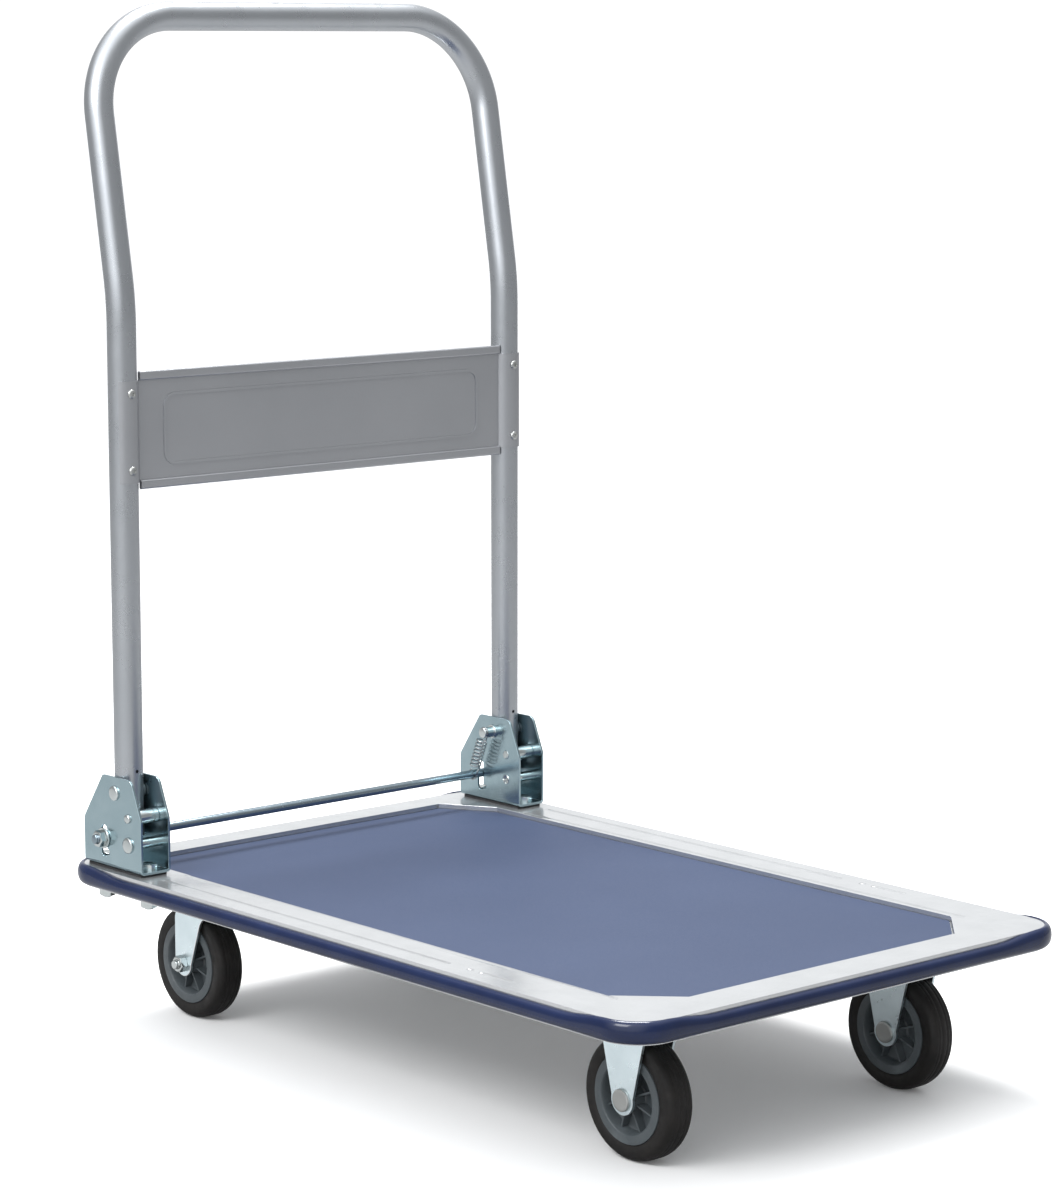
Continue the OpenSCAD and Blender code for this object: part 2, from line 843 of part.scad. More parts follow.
// A raised line round the panel's face, made as the border of a round-cornered plate.
module panel_frame() {
    sunk = 0.3;
    height = sunk + frame_rise;
    translate([panel_x + panel_t / 2 - sunk, 0, plate_mid_z])
        rotate([0, 90, 0])
            difference() {
                round_block(frame_size, frame_corner_r, 0, height);
                round_block(frame_size - 2 * [frame_line, frame_line], frame_corner_r - frame_line,
                            -e, height + e);
            }
}

module handle_panel() {
    hem_z = (panel_h - hem_size.y) / 2;
    color(panel_grey)
        difference() {
            union() {
                translate([0, 0, plate_mid_z - tab_h / 2]) linear_extrude(tab_h) plate_plan();
                translate([panel_x - panel_t / 2, -hem_end, panel_height - hem_z])
                    cube([panel_t, 2 * hem_end, 2 * hem_z]);
                for (s = [-1, 1]) panel_hem(panel_height + s * hem_z);
                panel_frame();
            }
            at_rivets() x_shaft(rivet_d, 0, tube_d);
        }
}

// Blind rivets through the saddles and the front of the legs, with a dimple in each head.
module panel_rivets() {
    seat = saddle_r + panel_t;
    color(zinc)
        at_rivets()
            difference() {
                union() {
                    translate([seat, 0, 0]) rotate([0, 90, 0]) cylinder(h = 2, d1 = 8, d2 = 5.6);
                    x_shaft(rivet_d, tube_bore / 2 - 3, seat + e);
                }
                x_shaft(2.4, seat + 1, seat + 3);
            }
}

// ---------- wheels ----------

// Places a shape made about the Y axis at a wheel's middle.
module at_wheel(x, track) {
    translate([x, track / 2, axle_z]) children();
}

// Turns a section drawn as [radius, width] about the Y axis.
module wheel_turn() {
    rotate([-90, 0, 0]) rotate_extrude($fn = 96) children();
}

module tyre() {
    outer = wheel_d / 2;
    half = wheel_w / 2;
    shoulder = [
        [outer, half - 9], [outer - 0.8, half - 4.5], [outer - 2.6, half - 1.2], [outer - 5.5, half],
    ];
    wheel_turn()
        polygon(concat(
            [[tyre_seat_r, -half]],
            [for (i = [3 : -1 : 0]) [shoulder[i].x, -shoulder[i].y]],
            shoulder,
            [[tyre_seat_r, half]]
        ));
}

// A bored boss and a rim ring, joined by a thin web with ribs on both faces.
module hub() {
    half = wheel_w / 2;
    edge = 0.6;
    face = [
        [wheel_bush_d / 2, half + 1.6], [boss_r, half + 1.6], [boss_r + 1, web_t / 2],
        [hub_ring_r - 2, web_t / 2], [hub_ring_r, half - 0.4], [hub_ring_r + edge, half + 0.4],
        [tyre_seat_r - edge, half + 0.4], [tyre_seat_r, half],
    ];
    last = len(face) - 1;
    wheel_turn() polygon(concat(face, [for (i = [last : -1 : 0]) [face[i].x, -face[i].y]]));
    for (i = [0 : rib_count - 1])
        rotate([0, 360 * (i + 0.5) / rib_count, 0])
            translate([boss_r - 1, rib_inset - half, -rib_t / 2])
                cube([hub_ring_r - boss_r, 2 * (half - rib_inset), rib_t]);
}

module axle_bush() {
    end = fork_gap / 2 - 0.2;
    difference() {
        y_shaft(wheel_bush_d, -end, end);
        y_shaft(axle_d + 2 * running, -end - e, end + e);
    }
}

// Every wheel is the same three pieces, put at its own place.
module front_place(side) {
    on_side(side) at_wheel(front_axle_x, front_track) children();
}

module rear_place(side) {
    on_side(side) at_wheel(-rear_axle_x, rear_track) children();
}

// ---------- fixed front casters ----------

module caster_plate() {
    difference() {
        round_block(plate_size, 7, plate_under, hat_face);
        for (sx = [-1, 1], sy = [-1, 1])
            translate([sx * caster_bolt.x, sy * caster_bolt.y, plate_under - e])
                cylinder(h = plate_t + 2 * e, d = bolt_hole_d);
    }
}

// A tapered leg as [x, z] about the axle, with a round lower end.
module front_leg() {
    top = plate_under - axle_z + 1;
    foot = [front_tip_r - 0.2, 2.6];
    rotate([90, 0, 0])
        linear_extrude(fork_t, center = true) {
            polygon([
                [-front_leg_half_w, top], [-foot.x, foot.y], [foot.x, foot.y], [front_leg_half_w, top],
            ]);
            circle(r = front_tip_r);
        }
}

module front_fork() {
    translate([front_axle_x, front_track / 2, 0])
        difference() {
            union() {
                caster_plate();
                for (sy = [-1, 1]) translate([0, sy * leg_offset, axle_z]) front_leg();
            }
            translate([0, 0, axle_z]) y_shaft(axle_d, -axle_hole_reach, axle_hole_reach);
        }
}

module left_front_fork() {
    color(zinc) on_side(1) front_fork();
}

module right_front_fork() {
    color(zinc) on_side(-1) front_fork();
}

module front_axles() {
    bevel = 0.7;
    color(zinc)
        for (side = [1, -1])
            front_place(side) {
                y_shaft(axle_d, -fork_out - 1, fork_out + 1);
                for (s = [0, 1])
                    mirror([0, s, 0])
                        translate([0, fork_out, 0])
                            rotate([-90, 0, 0]) {
                                cylinder(h = axle_head[1] - bevel, d = axle_head[0]);
                                translate([0, 0, axle_head[1] - bevel])
                                    cylinder(h = bevel, d1 = axle_head[0], d2 = axle_head[0] - 2 * bevel);
                            }
            }
}

module caster_bolts(x, track) {
    at_caster_bolts(x, track)
        translate([0, 0, plate_under]) mirror([0, 0, 1]) bolt(hex_af, head_h, bolt_d, caster_bolt_length);
}

module caster_nuts(x, track) {
    at_caster_bolts(x, track) translate([0, 0, hat_face + hat_t]) nut(hex_af, nut_h, bolt_d);
}

module front_caster_bolts() {
    color(zinc) caster_bolts(front_axle_x, front_track);
}

module front_caster_nuts() {
    color(zinc) caster_nuts(front_axle_x, front_track);
}

// ---------- swivel rear casters ----------

module swivel_plate() {
    translate([swivel_x, rear_track / 2, 0])
        difference() {
            union() {
                caster_plate();
                translate([0, 0, upper_race_z])
                    ring(upper_race[0], upper_race[1], plate_under - upper_race_z + e);
            }
            translate([0, 0, plate_under - e]) cylinder(h = plate_t + 2 * e, d = kingpin_d);
        }
}

module left_swivel_plate() {
    color(zinc) on_side(1) swivel_plate();
}

module right_swivel_plate() {
    color(zinc) on_side(-1) swivel_plate();
}

module kingpins() {
    length = hat_face + 1 - kingpin_bottom;
    color(zinc)
        both_sides()
            translate([swivel_x, rear_track / 2, 0]) {
                translate([0, 0, kingpin_bottom]) cylinder(h = length, d = kingpin_d);
                translate([0, 0, kingpin_bottom]) cylinder(h = 4.6, d = kingpin_head_d);
                translate([0, 0, hat_face]) cylinder(h = 3, d = kingpin_head_d);
            }
}

module rear_caster_bolts() {
    color(zinc) caster_bolts(swivel_x, rear_track);
}

module rear_caster_nuts() {
    color(zinc) caster_nuts(swivel_x, rear_track);
}

// Side outline of a swivel fork leg, as [x, z] about the swivel axis.
module swivel_leg() {
    top = crown_z + plate_t;
    back = -swivel_trail - rear_tip_r;
    rotate([90, 0, 0])
        linear_extrude(fork_t, center = true) {
            polygon(rounded(
                [
                    [back, axle_z], [back, crown_z - 11], [crown_x[0], top], [crown_x[1], top],
                    [crown_x[1], crown_z - 3], [-5, crown_z - 9], [rear_tip_r - swivel_trail, axle_z],
                ],
                [0, 8, 0, 0, 3, 14, 0]
            ));
            translate([-swivel_trail, axle_z]) circle(r = rear_tip_r);
        }
}

module swivel_fork() {
    translate([swivel_x, rear_track / 2, 0])
        difference() {
            union() {
                for (sy = [-1, 1]) translate([0, sy * leg_offset, 0]) swivel_leg();
                translate([crown_x[0], -fork_out, crown_z])
                    cube([crown_x[1] - crown_x[0], 2 * fork_out, plate_t]);
                translate([0, 0, crown_z]) cylinder(h = plate_t, r = crown_r);
                translate([0, 0, crown_z]) ring(2 * crown_r, 2 * (crown_r - crown_wall[0]), crown_wall[1]);
            }
            translate([0, 0, crown_z - e]) cylinder(h = plate_t + 2 * e, d = kingpin_d + 2 * running);
            translate([-swivel_trail, 0, axle_z]) y_shaft(axle_d, -axle_hole_reach, axle_hole_reach);
        }
}

module left_swivel_fork() {
    color(zinc) on_side(1) swivel_fork();
}

module right_swivel_fork() {
    color(zinc) on_side(-1) swivel_fork();
}

module bearing_balls() {
    translate([swivel_x, rear_track / 2, crown_z + plate_t + ball_d / 2 + 0.15])
        for (i = [0 : ball_count - 1])
            rotate(360 * i / ball_count) translate([race_r, 0, 0]) sphere(d = ball_d);
}

module left_bearing_balls() {
    color(dark_steel) on_side(1) bearing_balls();
}

module right_bearing_balls() {
    color(dark_steel) on_side(-1) bearing_balls();
}

// The bolt's head is on the inside of the cart and its nut on the outside.
module rear_axle() {
    y_shaft(axle_d, -fork_out - 1, fork_out + rear_axle_end);
    translate([0, -fork_out, 0]) rotate([90, 0, 0]) hex_prism(hex_af, head_h);
}

module rear_axle_nut() {
    translate([0, fork_out, 0]) rotate([-90, 0, 0]) nut(hex_af, nut_h, axle_d);
}

module left_rear_axle() {
    color(zinc) rear_place(1) rear_axle();
}

module right_rear_axle() {
    color(zinc) rear_place(-1) rear_axle();
}

module left_rear_axle_nut() {
    color(zinc) rear_place(1) rear_axle_nut();
}

module right_rear_axle_nut() {
    color(zinc) rear_place(-1) rear_axle_nut();
}

// ---------- the twelve wheel pieces ----------

module left_front_tyre() {
    color(rubber_black) front_place(1) tyre();
}

module left_front_hub() {
    color(hub_grey) front_place(1) hub();
}

module left_front_bush() {
    color(dark_steel) front_place(1) axle_bush();
}

module left_rear_tyre() {
    color(rubber_black) rear_place(1) tyre();
}

module left_rear_hub() {
    color(hub_grey) rear_place(1) hub();
}

module left_rear_bush() {
    color(dark_steel) rear_place(1) axle_bush();
}

module right_front_tyre() {
    color(rubber_black) front_place(-1) tyre();
}

module right_front_hub() {
    color(hub_grey) front_place(-1) hub();
}

module right_front_bush() {
    color(dark_steel) front_place(-1) axle_bush();
}

module right_rear_tyre() {
    color(rubber_black) rear_place(-1) tyre();
}

module right_rear_hub() {
    color(hub_grey) rear_place(-1) hub();
}

module right_rear_bush() {
    color(dark_steel) rear_place(-1) axle_bush();
}

deck_pan();
anti_slip_mat();
edge_bumper();
front_cross_member();
rear_cross_member();
centre_stiffener();
left_handle_bracket();
right_handle_bracket();
bracket_pads();
bracket_bolts();
bracket_nuts();
bracket_washers();
bracket_spacers();
pivot_pins();
upper_stop_pins();
stop_sleeves();
lower_stop_pins();
release_bar();
release_bar_washers();
release_bar_nuts();
left_return_spring();
right_return_spring();
handle_tube();
handle_panel();
panel_rivets();
pivot_bushes();
left_front_fork();
right_front_fork();
front_axles();
front_caster_bolts();
front_caster_nuts();
left_front_tyre();
left_front_hub();
left_front_bush();
right_front_tyre();
right_front_hub();
right_front_bush();
left_swivel_plate();
right_swivel_plate();
kingpins();
rear_caster_bolts();
rear_caster_nuts();
left_swivel_fork();
left_bearing_balls();
left_rear_axle();
left_rear_axle_nut();
right_swivel_fork();
right_bearing_balls();
right_rear_axle();
right_rear_axle_nut();
left_rear_tyre();
left_rear_hub();
left_rear_bush();
right_rear_tyre();
right_rear_hub();
right_rear_bush();
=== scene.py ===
"""Folding platform cart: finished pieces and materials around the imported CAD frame.

The frame's axes are +X forward (away from the handle), +Y left and +Z up, in metres.
"""
import json
import math

import bmesh
import bpy
from mathutils import Matrix, Vector, noise


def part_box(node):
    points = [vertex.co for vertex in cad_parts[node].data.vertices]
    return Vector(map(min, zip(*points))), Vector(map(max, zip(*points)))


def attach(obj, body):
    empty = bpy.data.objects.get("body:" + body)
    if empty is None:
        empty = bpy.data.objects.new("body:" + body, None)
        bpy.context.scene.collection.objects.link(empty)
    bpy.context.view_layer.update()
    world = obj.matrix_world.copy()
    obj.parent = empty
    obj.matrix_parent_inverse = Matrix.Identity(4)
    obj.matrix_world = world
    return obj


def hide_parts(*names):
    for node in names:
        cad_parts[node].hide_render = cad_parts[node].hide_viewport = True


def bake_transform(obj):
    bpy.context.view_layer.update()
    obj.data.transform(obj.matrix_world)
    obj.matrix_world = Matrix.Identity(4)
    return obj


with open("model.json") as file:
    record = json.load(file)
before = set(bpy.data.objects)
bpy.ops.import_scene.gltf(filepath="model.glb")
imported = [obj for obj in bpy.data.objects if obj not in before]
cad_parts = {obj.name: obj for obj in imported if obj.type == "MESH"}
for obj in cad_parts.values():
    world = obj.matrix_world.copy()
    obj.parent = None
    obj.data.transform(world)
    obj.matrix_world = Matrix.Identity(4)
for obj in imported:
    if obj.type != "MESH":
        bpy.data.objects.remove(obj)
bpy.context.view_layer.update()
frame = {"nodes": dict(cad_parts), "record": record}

MM = 0.001
# Vertices nearer than this are one, in metres, and faces flatter than this are one face.
JOIN_WITHIN = 2e-6
FLAT_WITHIN = math.radians(0.3)
SIDES = {"left": 1, "right": -1}
BODY_OF = {
    node: body
    for body, nodes in frame["record"]["behaviour"]["bodies"].items()
    for node in nodes
}
SLOT_OF = {s["node"]: s["material_slot"] for s in frame["record"]["subparts"]}


# ---------------------------------------------------------------- materials

def brighter(colour, factor):
    return tuple(min(1, factor * c) for c in colour)


class Nodes:
    """A material's node tree, with short calls to add nodes and links."""

    def __init__(self, name):
        self.material = bpy.data.materials.new(name)
        self.material.use_nodes = True
        self.tree = self.material.node_tree
        self.shader = self.tree.nodes["Principled BSDF"]
        self.place = self.add("ShaderNodeTexCoord").outputs["Object"]

    def add(self, kind, **values):
        node = self.tree.nodes.new(kind)
        for key, value in values.items():
            if hasattr(node, key):
                setattr(node, key, value)
            else:
                node.inputs[key.replace("_", " ").title()].default_value = value
        return node

    def link(self, out, into):
        self.tree.links.new(out, into)

    def stretched(self, factors):
        """Object coordinates, stretched by factors along X, Y and Z."""
        mapping = self.add("ShaderNodeMapping")
        mapping.inputs["Scale"].default_value = factors
        self.link(self.place, mapping.inputs["Vector"])
        return mapping.outputs["Vector"]

    def noise(self, scale, detail=2.0, roughness=0.5, vector=None):
        node = self.add("ShaderNodeTexNoise", scale=scale, detail=detail, roughness=roughness)
        self.link(vector or self.place, node.inputs["Vector"])
        return node.outputs["Fac"]

    def spread(self, value, low, high, from_low=0.3, from_high=0.7):
        """value, mapped from a middle band of noise to the range low..high."""
        node = self.add("ShaderNodeMapRange")
        for key, number in zip(("From Min", "From Max", "To Min", "To Max"),
                               (from_low, from_high, low, high)):
            node.inputs[key].default_value = number
        self.link(value, node.inputs["Value"])
        return node.outputs["Result"]

    def mixed(self, factor, colour_a, colour_b):
        node = self.add("ShaderNodeMix", data_type="RGBA")
        self.link(factor, node.inputs["Factor"])
        for socket, colour in ((node.inputs[6], colour_a), (node.inputs[7], colour_b)):
            if isinstance(colour, tuple):
                socket.default_value = (*colour, 1)
            else:
                self.link(colour, socket)
        return node.outputs[2]

    def cloud(self, scale, detail, dark, light, roughness=0.5):
        """Two tones, mixed by noise."""
        return self.mixed(self.spread(self.noise(scale, detail, roughness), 0, 1), dark, light)

    def bump(self, height, strength, distance, under=None):
        node = self.add("ShaderNodeBump")
        node.inputs["Strength"].default_value = strength
        node.inputs["Distance"].default_value = distance
        self.link(height, node.inputs["Height"])
        if under is not None:
            self.link(under, node.inputs["Normal"])
        return node.outputs["Normal"]

    def edges(self):
        """1 on the rounded edges of a softened plate, 0 everywhere else."""
        return self.add("ShaderNodeAttribute", attribute_name="edge").outputs["Fac"]

    def finish(self, colour=None, roughness=None, normal=None, **fixed):
        sources = {"Base Color": colour, "Roughness": roughness, "Normal": normal}
        for socket, source in sources.items():
            if source is not None:
                self.link(source, self.shader.inputs[socket])
        for key, value in fixed.items():
            self.shader.inputs[key.replace("_", " ")].default_value = value
        return self.material


def zinc_plate(name, light, dark, rough=(0.16, 0.30), grain=(1, 1, 1), wave=0.10,
               grit=0.05, metallic=1.0):
    """Passivated zinc: a cloudy metal with faint rolling lines, and rounded edges painted lighter,
    partly as wear and partly as a painted highlight.
    """
    n = Nodes(name)
    lines = n.noise(450, 1.0, vector=n.stretched(grain))
    # the rounded edges are painted lighter: partly worn zinc, partly a painted highlight
    colour = n.mixed(n.edges(), n.cloud(38, 3.0, dark, light), brighter(light, 1.25))
    roughness = n.spread(n.noise(120, 4.0, 0.6), *rough)
    fine = n.bump(lines, grit, 0.0002)
    normal = n.bump(n.noise(16, 2.0), wave, 0.002, under=fine)
    return n.finish(colour, roughness, normal, Metallic=metallic)


def painted_metal(name, light, dark, rough=(0.34, 0.46), metallic=0.55, peel=0.12):
    """Silver paint: metal flake, a slight orange peel and a painted highlight on the rounded edges.
    """
    n = Nodes(name)
    flake = n.noise(2600, 1.0)
    body = n.cloud(9, 3.0, dark, light)
    flaked = n.mixed(n.spread(flake, 0, 0.2), body, brighter(light, 1.18))
    # the rounded edges are painted much lighter: a painted highlight, not wear
    colour = n.mixed(n.edges(), flaked, brighter(light, 1.7))
    roughness = n.spread(n.noise(60, 4.0, 0.6), *rough)
    normal = n.bump(n.noise(420, 2.0), peel, 0.0004)
    return n.finish(colour, roughness, normal, Metallic=metallic, IOR=1.5)


def mat_vinyl():
    """Blue vinyl with a fine leather grain and a slow change of tone."""
    n = Nodes("mat_vinyl")
    cells = n.add("ShaderNodeTexVoronoi", feature="DISTANCE_TO_EDGE")
    cells.inputs["Scale"].default_value = 900
    wobble = n.add("ShaderNodeMix", data_type="VECTOR")
    wobble.inputs["Factor"].default_value = 0.0012
    n.link(n.place, wobble.inputs[4])
    shift = n.add("ShaderNodeTexNoise", scale=260.0, detail=2.0)
    n.link(n.place, shift.inputs["Vector"])
    n.link(shift.outputs["Color"], wobble.inputs[5])
    n.link(wobble.outputs[1], cells.inputs["Vector"])
    grain = n.spread(cells.outputs["Distance"], 0, 1, 0.0, 0.35)
    tone = n.cloud(5, 3.0, (0.024, 0.040, 0.088), (0.031, 0.049, 0.102))
    speck = n.spread(n.noise(1500, 2.0), 0, 0.35)
    colour = n.mixed(speck, tone, (0.056, 0.072, 0.128))
    roughness = n.spread(grain, 0.68, 0.55, 0, 1)
    fine = n.bump(grain, 0.35, 0.0003)
    normal = n.bump(n.noise(14, 2.0), 0.12, 0.004, under=fine)
    return n.finish(colour, roughness, normal, Specular_IOR_Level=0.3)


def bumper_vinyl():
    """Glossy navy vinyl with faint flow lines and fine scuffs."""
    n = Nodes("bumper_vinyl")
    tone = n.cloud(24, 3.0, (0.004, 0.010, 0.042), (0.007, 0.016, 0.060))
    scuff = n.spread(n.noise(340, 5.0, 0.7), 0.0, 0.5, 0.58, 0.75)
    colour = n.mixed(scuff, tone, (0.012, 0.022, 0.070))
    roughness = n.spread(n.noise(90, 5.0, 0.65), 0.12, 0.22)
    normal = n.bump(n.noise(70, 3.0), 0.05, 0.0008)
    return n.finish(colour, roughness, normal, Specular_IOR_Level=0.38,
                    Coat_Weight=0.1, Coat_Roughness=0.06)


def tyre_rubber():
    """Brown-black rubber with mould dust and fine turning lines round the axle."""
    n = Nodes("tyre_rubber")
    colour = n.cloud(60, 4.0, (0.007, 0.0065, 0.0065), (0.015, 0.013, 0.012), 0.6)
    roughness = n.spread(n.noise(180, 4.0, 0.6), 0.42, 0.60)
    lines = n.noise(700, 1.0, vector=n.stretched((0.02, 1, 0.02)))
    fine = n.bump(n.noise(1300, 2.0), 0.15, 0.0003)
    normal = n.bump(lines, 0.20, 0.0003, under=fine)
    return n.finish(colour, roughness, normal, Specular_IOR_Level=0.32)


def moulded_plastic(name, light, dark, rough=(0.42, 0.56)):
    """Injection-moulded plastic with a spark-eroded texture."""
    n = Nodes(name)
    scuff = n.spread(n.noise(22, 4.0), 0, 1, 0.58, 0.72)
    worn = n.mixed(scuff, n.cloud(45, 3.0, dark, light), brighter(light, 1.5))
    roughness = n.spread(n.noise(300, 4.0, 0.6), *rough)
    normal = n.bump(n.noise(1500, 2.0), 0.22, 0.00025)
    return n.finish(worn, roughness, normal)


def spring_wire():
    """Drawn steel wire with a fine mottle."""
    n = Nodes("spring_wire")
    colour = n.cloud(400, 3.0, (0.22, 0.24, 0.25), (0.40, 0.42, 0.43))
    roughness = n.spread(n.noise(900, 3.0), 0.16, 0.30)
    normal = n.bump(n.noise(2200, 2.0), 0.10, 0.0002)
    return n.finish(colour, roughness, normal, Metallic=1.0)


def pad_rubber():
    """Dull black sheet rubber."""
    n = Nodes("pad_rubber")
    colour = n.cloud(80, 3.0, (0.010, 0.010, 0.011), (0.024, 0.024, 0.026))
    roughness = n.spread(n.noise(260, 3.0), 0.55, 0.75)
    normal = n.bump(n.noise(1100, 2.0), 0.2, 0.0003)
    return n.finish(colour, roughness, normal)


MATERIALS = {
    "pan_steel": zinc_plate("pan_steel", (0.62, 0.63, 0.64), (0.57, 0.58, 0.59), (0.16, 0.24),
                            grain=(0.05, 1, 1), wave=0.03, grit=0.015, metallic=0.8),
    "mat": mat_vinyl(),
    "bumper": bumper_vinyl(),
    "pad_rubber": pad_rubber(),
    "handle_paint": painted_metal("handle_paint", (0.46, 0.48, 0.505), (0.41, 0.43, 0.455),
                                  rough=(0.26, 0.32), metallic=0.9, peel=0.02),
    "panel_paint": painted_metal("panel_paint", (0.41, 0.42, 0.44), (0.38, 0.39, 0.41),
                                 rough=(0.29, 0.33), metallic=0.75, peel=0.02),
    "zinc_bracket": zinc_plate("zinc_bracket", (0.39, 0.50, 0.54), (0.33, 0.44, 0.48),
                               (0.16, 0.26), wave=0.06),
    "spring_steel": spring_wire(),
    "rivet_zinc": zinc_plate("rivet_zinc", (0.52, 0.53, 0.52), (0.42, 0.43, 0.42), (0.30, 0.46)),
    "dark_steel": zinc_plate("dark_steel", (0.20, 0.21, 0.22), (0.12, 0.13, 0.14), (0.30, 0.45)),
    "caster_zinc": zinc_plate("caster_zinc", (0.82, 0.93, 0.97), (0.74, 0.85, 0.89), (0.26, 0.38),
                              grain=(1, 1, 0.06)),
    "tyre_rubber": tyre_rubber(),
    "hub_plastic": moulded_plastic("hub_plastic", (0.085, 0.098, 0.106), (0.066, 0.080, 0.088)),
    "fastener_zinc": zinc_plate("fastener_zinc", (0.64, 0.68, 0.68), (0.50, 0.54, 0.54),
                                (0.12, 0.24)),
    "bar_steel": zinc_plate("bar_steel", (0.30, 0.36, 0.40), (0.25, 0.31, 0.35), (0.20, 0.28),
                            grain=(1, 0.03, 1), wave=0.02),
}


# ---------------------------------------------------------------- mesh helpers

def centre(node):
    low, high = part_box(node)
    return (low + high) / 2


def meshed(name, bm):
    """A mesh made from a bmesh, which is freed."""
    mesh = bpy.data.meshes.new(name)
    bm.to_mesh(mesh)
    bm.free()
    return mesh


def closed_mesh(name, bm):
    """A mesh whose faces all look outwards."""
    bmesh.ops.recalc_face_normals(bm, faces=bm.faces)
    return meshed(name, bm)


def linked(name, data):
    """A new object in the scene."""
    item = bpy.data.objects.new(name, data)
    bpy.context.scene.collection.objects.link(item)
    return item


def cad_copy(node):
    """A bmesh of a CAD node, with its doubled vertices joined."""
    bm = bmesh.new()
    bm.from_mesh(frame["nodes"][node].data)
    bmesh.ops.remove_doubles(bm, verts=bm.verts, dist=JOIN_WITHIN)
    return bm


def shade(mesh, sharp):
    """Smooth shading that breaks where faces meet at more than sharp degrees."""
    mesh.shade_smooth()
    mesh.set_sharp_from_angle(angle=math.radians(sharp))


def make(name, bm, body, slot, *nodes, sharp=40):
    """Turns a bmesh into a piece that rides on a body and stands for CAD nodes."""
    mesh = closed_mesh(name, bm)
    shade(mesh, sharp)
    return dress(linked(name, mesh), body, slot, *nodes)


def dress(piece, body, slot, *nodes):
    """Gives a piece its material, its body and the CAD nodes that it stands for."""
    piece.data.materials.clear()
    piece.data.materials.append(MATERIALS[slot])
    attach(piece, body)
    if nodes:
        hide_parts(*nodes)
    return piece


def applied(piece):
    """Replaces a piece's mesh with the result of its modifiers."""
    graph = bpy.context.evaluated_depsgraph_get()
    mesh = bpy.data.meshes.new_from_object(piece.evaluated_get(graph))
    piece.modifiers.clear()
    piece.data = mesh
    return piece


def add_bevel(piece, width, angle):
    """Rounds the edges sharper than angle degrees to width, in millimetres."""
    bevel = piece.modifiers.new("edges", "BEVEL")
    bevel.width = width * MM
    bevel.segments = 2
    bevel.limit_method = "ANGLE"
    bevel.angle_limit = math.radians(angle)
    return bevel


def combined(piece, mesh, operation):
    """Applies a Boolean of a piece with a mesh."""
    tool = linked("tool", mesh)
    boolean = piece.modifiers.new("boolean", "BOOLEAN")
    boolean.operation = operation
    boolean.solver = "EXACT"
    boolean.object = tool
    applied(piece)
    bpy.data.objects.remove(tool)
    return piece


def mark_edges(mesh):
    """Turns the rounded edges' material index into the face attribute that the materials read."""
    rounded = [float(face.material_index) for face in mesh.polygons]
    mesh.attributes.new("edge", "FLOAT", "FACE").data.foreach_set("value", rounded)
    mesh.polygons.foreach_set("material_index", [0] * len(rounded))


def softened(node, width):
    """A copy of a CAD node with its edges rounded to width, in millimetres."""
    bm = cad_copy(node)
    bmesh.ops.dissolve_limit(bm, angle_limit=FLAT_WITHIN, verts=bm.verts, edges=bm.edges)
    mesh = meshed(node + "_finished", bm)
    mesh.shade_smooth()
    for _ in range(2):
        mesh.materials.append(None)
    piece = linked(node + "_finished", mesh)
    add_bevel(piece, width, 30).material = 1
    flats = piece.modifiers.new("flats", "WEIGHTED_NORMAL")
    flats.keep_sharp = True
    mark_edges(applied(piece).data)
    return dress(piece, BODY_OF[node], SLOT_OF[node], node)


# ---------------------------------------------------------------- shapes from rings

def skinned(rings, closed=False):
    """A bmesh over rings of equally many points; the ends are capped unless the rings close."""
    bm = bmesh.new()
    rows = [[bm.verts.new(point) for point in ring] for ring in rings]
    pairs = list(zip(rows, rows[1:]))
    if closed:
        pairs.append((rows[-1], rows[0]))
    for a, b in pairs:
        for i in range(len(a)):
            j = (i + 1) % len(a)
            bm.faces.new((a[i], a[j], b[j], b[i]))
    if not closed:
        bm.faces.new(reversed(rows[0]))
        bm.faces.new(rows[-1])
    return bm


def turned(profile, steps=64, closed=False):
    """A form about +Z from (radius, height) entries in mm; either may depend on the angle."""
    rings = []
    for radius, height in profile:
        ring = []
        for i in range(steps):
            a = math.tau * i / steps
            r = radius(a) if callable(radius) else radius
            h = height(a) if callable(height) else height
            ring.append(Vector((r * math.cos(a), r * math.sin(a), h)) * MM)
        rings.append(ring)
    return skinned(rings, closed)


AXES = {"X": (1, 0, 0), "Y": (0, 1, 0), "-Y": (0, -1, 0), "Z": (0, 0, 1), "-Z": (0, 0, -1)}


def placed(bm, place, axis="Z", turn=0.0):
    """Moves a form made about +Z so that its axis points along axis from place."""
    spin = Matrix.Rotation(math.radians(turn), 4, "Z")
    aim = Vector((0, 0, 1)).rotation_difference(Vector(AXES[axis])).to_matrix().to_4x4()
    bmesh.ops.transform(bm, matrix=Matrix.Translation(place) @ aim @ spin, verts=bm.verts)
    return bm


def merged(forms):
    """Several bmeshes as one."""
    whole = bmesh.new()
    for bm in forms:
        part = meshed("part", bm)
        whole.from_mesh(part)
        bpy.data.meshes.remove(part)
    return whole


# A hexagon's turned chamfer starts at this share of its half width, and falls at 30 degrees.
CHAMFER_SHARE = 0.97
CHAMFER_SLOPE = math.tan(math.radians(30))
HEX_STEPS = 72


def hex_radius(across_flats):
    """A hexagon's radius as a function of the angle."""
    def radius(a):
        return across_flats / 2 / math.cos((a + math.pi / 6) % (math.pi / 3) - math.pi / 6)
    return radius


def hex_chamfer(across_flats, level, down):
    """Height of the arc where a hexagon's corner meets its turned chamfer."""
    radius = hex_radius(across_flats)

    def height(a):
        cut = max(0.0, radius(a) - CHAMFER_SHARE * across_flats / 2) * CHAMFER_SLOPE
        return level - cut if down else level + cut
    return height


def rounded_end(radius, end, chamfer):
    """The last entries of a profile that ends in a small round, going outwards to height end."""
    sign = 1 if chamfer > 0 else -1
    size = abs(chamfer)
    return [(radius - size * (1 - math.cos(t)), end - sign * size * (1 - math.sin(t)))
            for t in (0, math.pi / 6, math.pi / 3, math.pi / 2)]


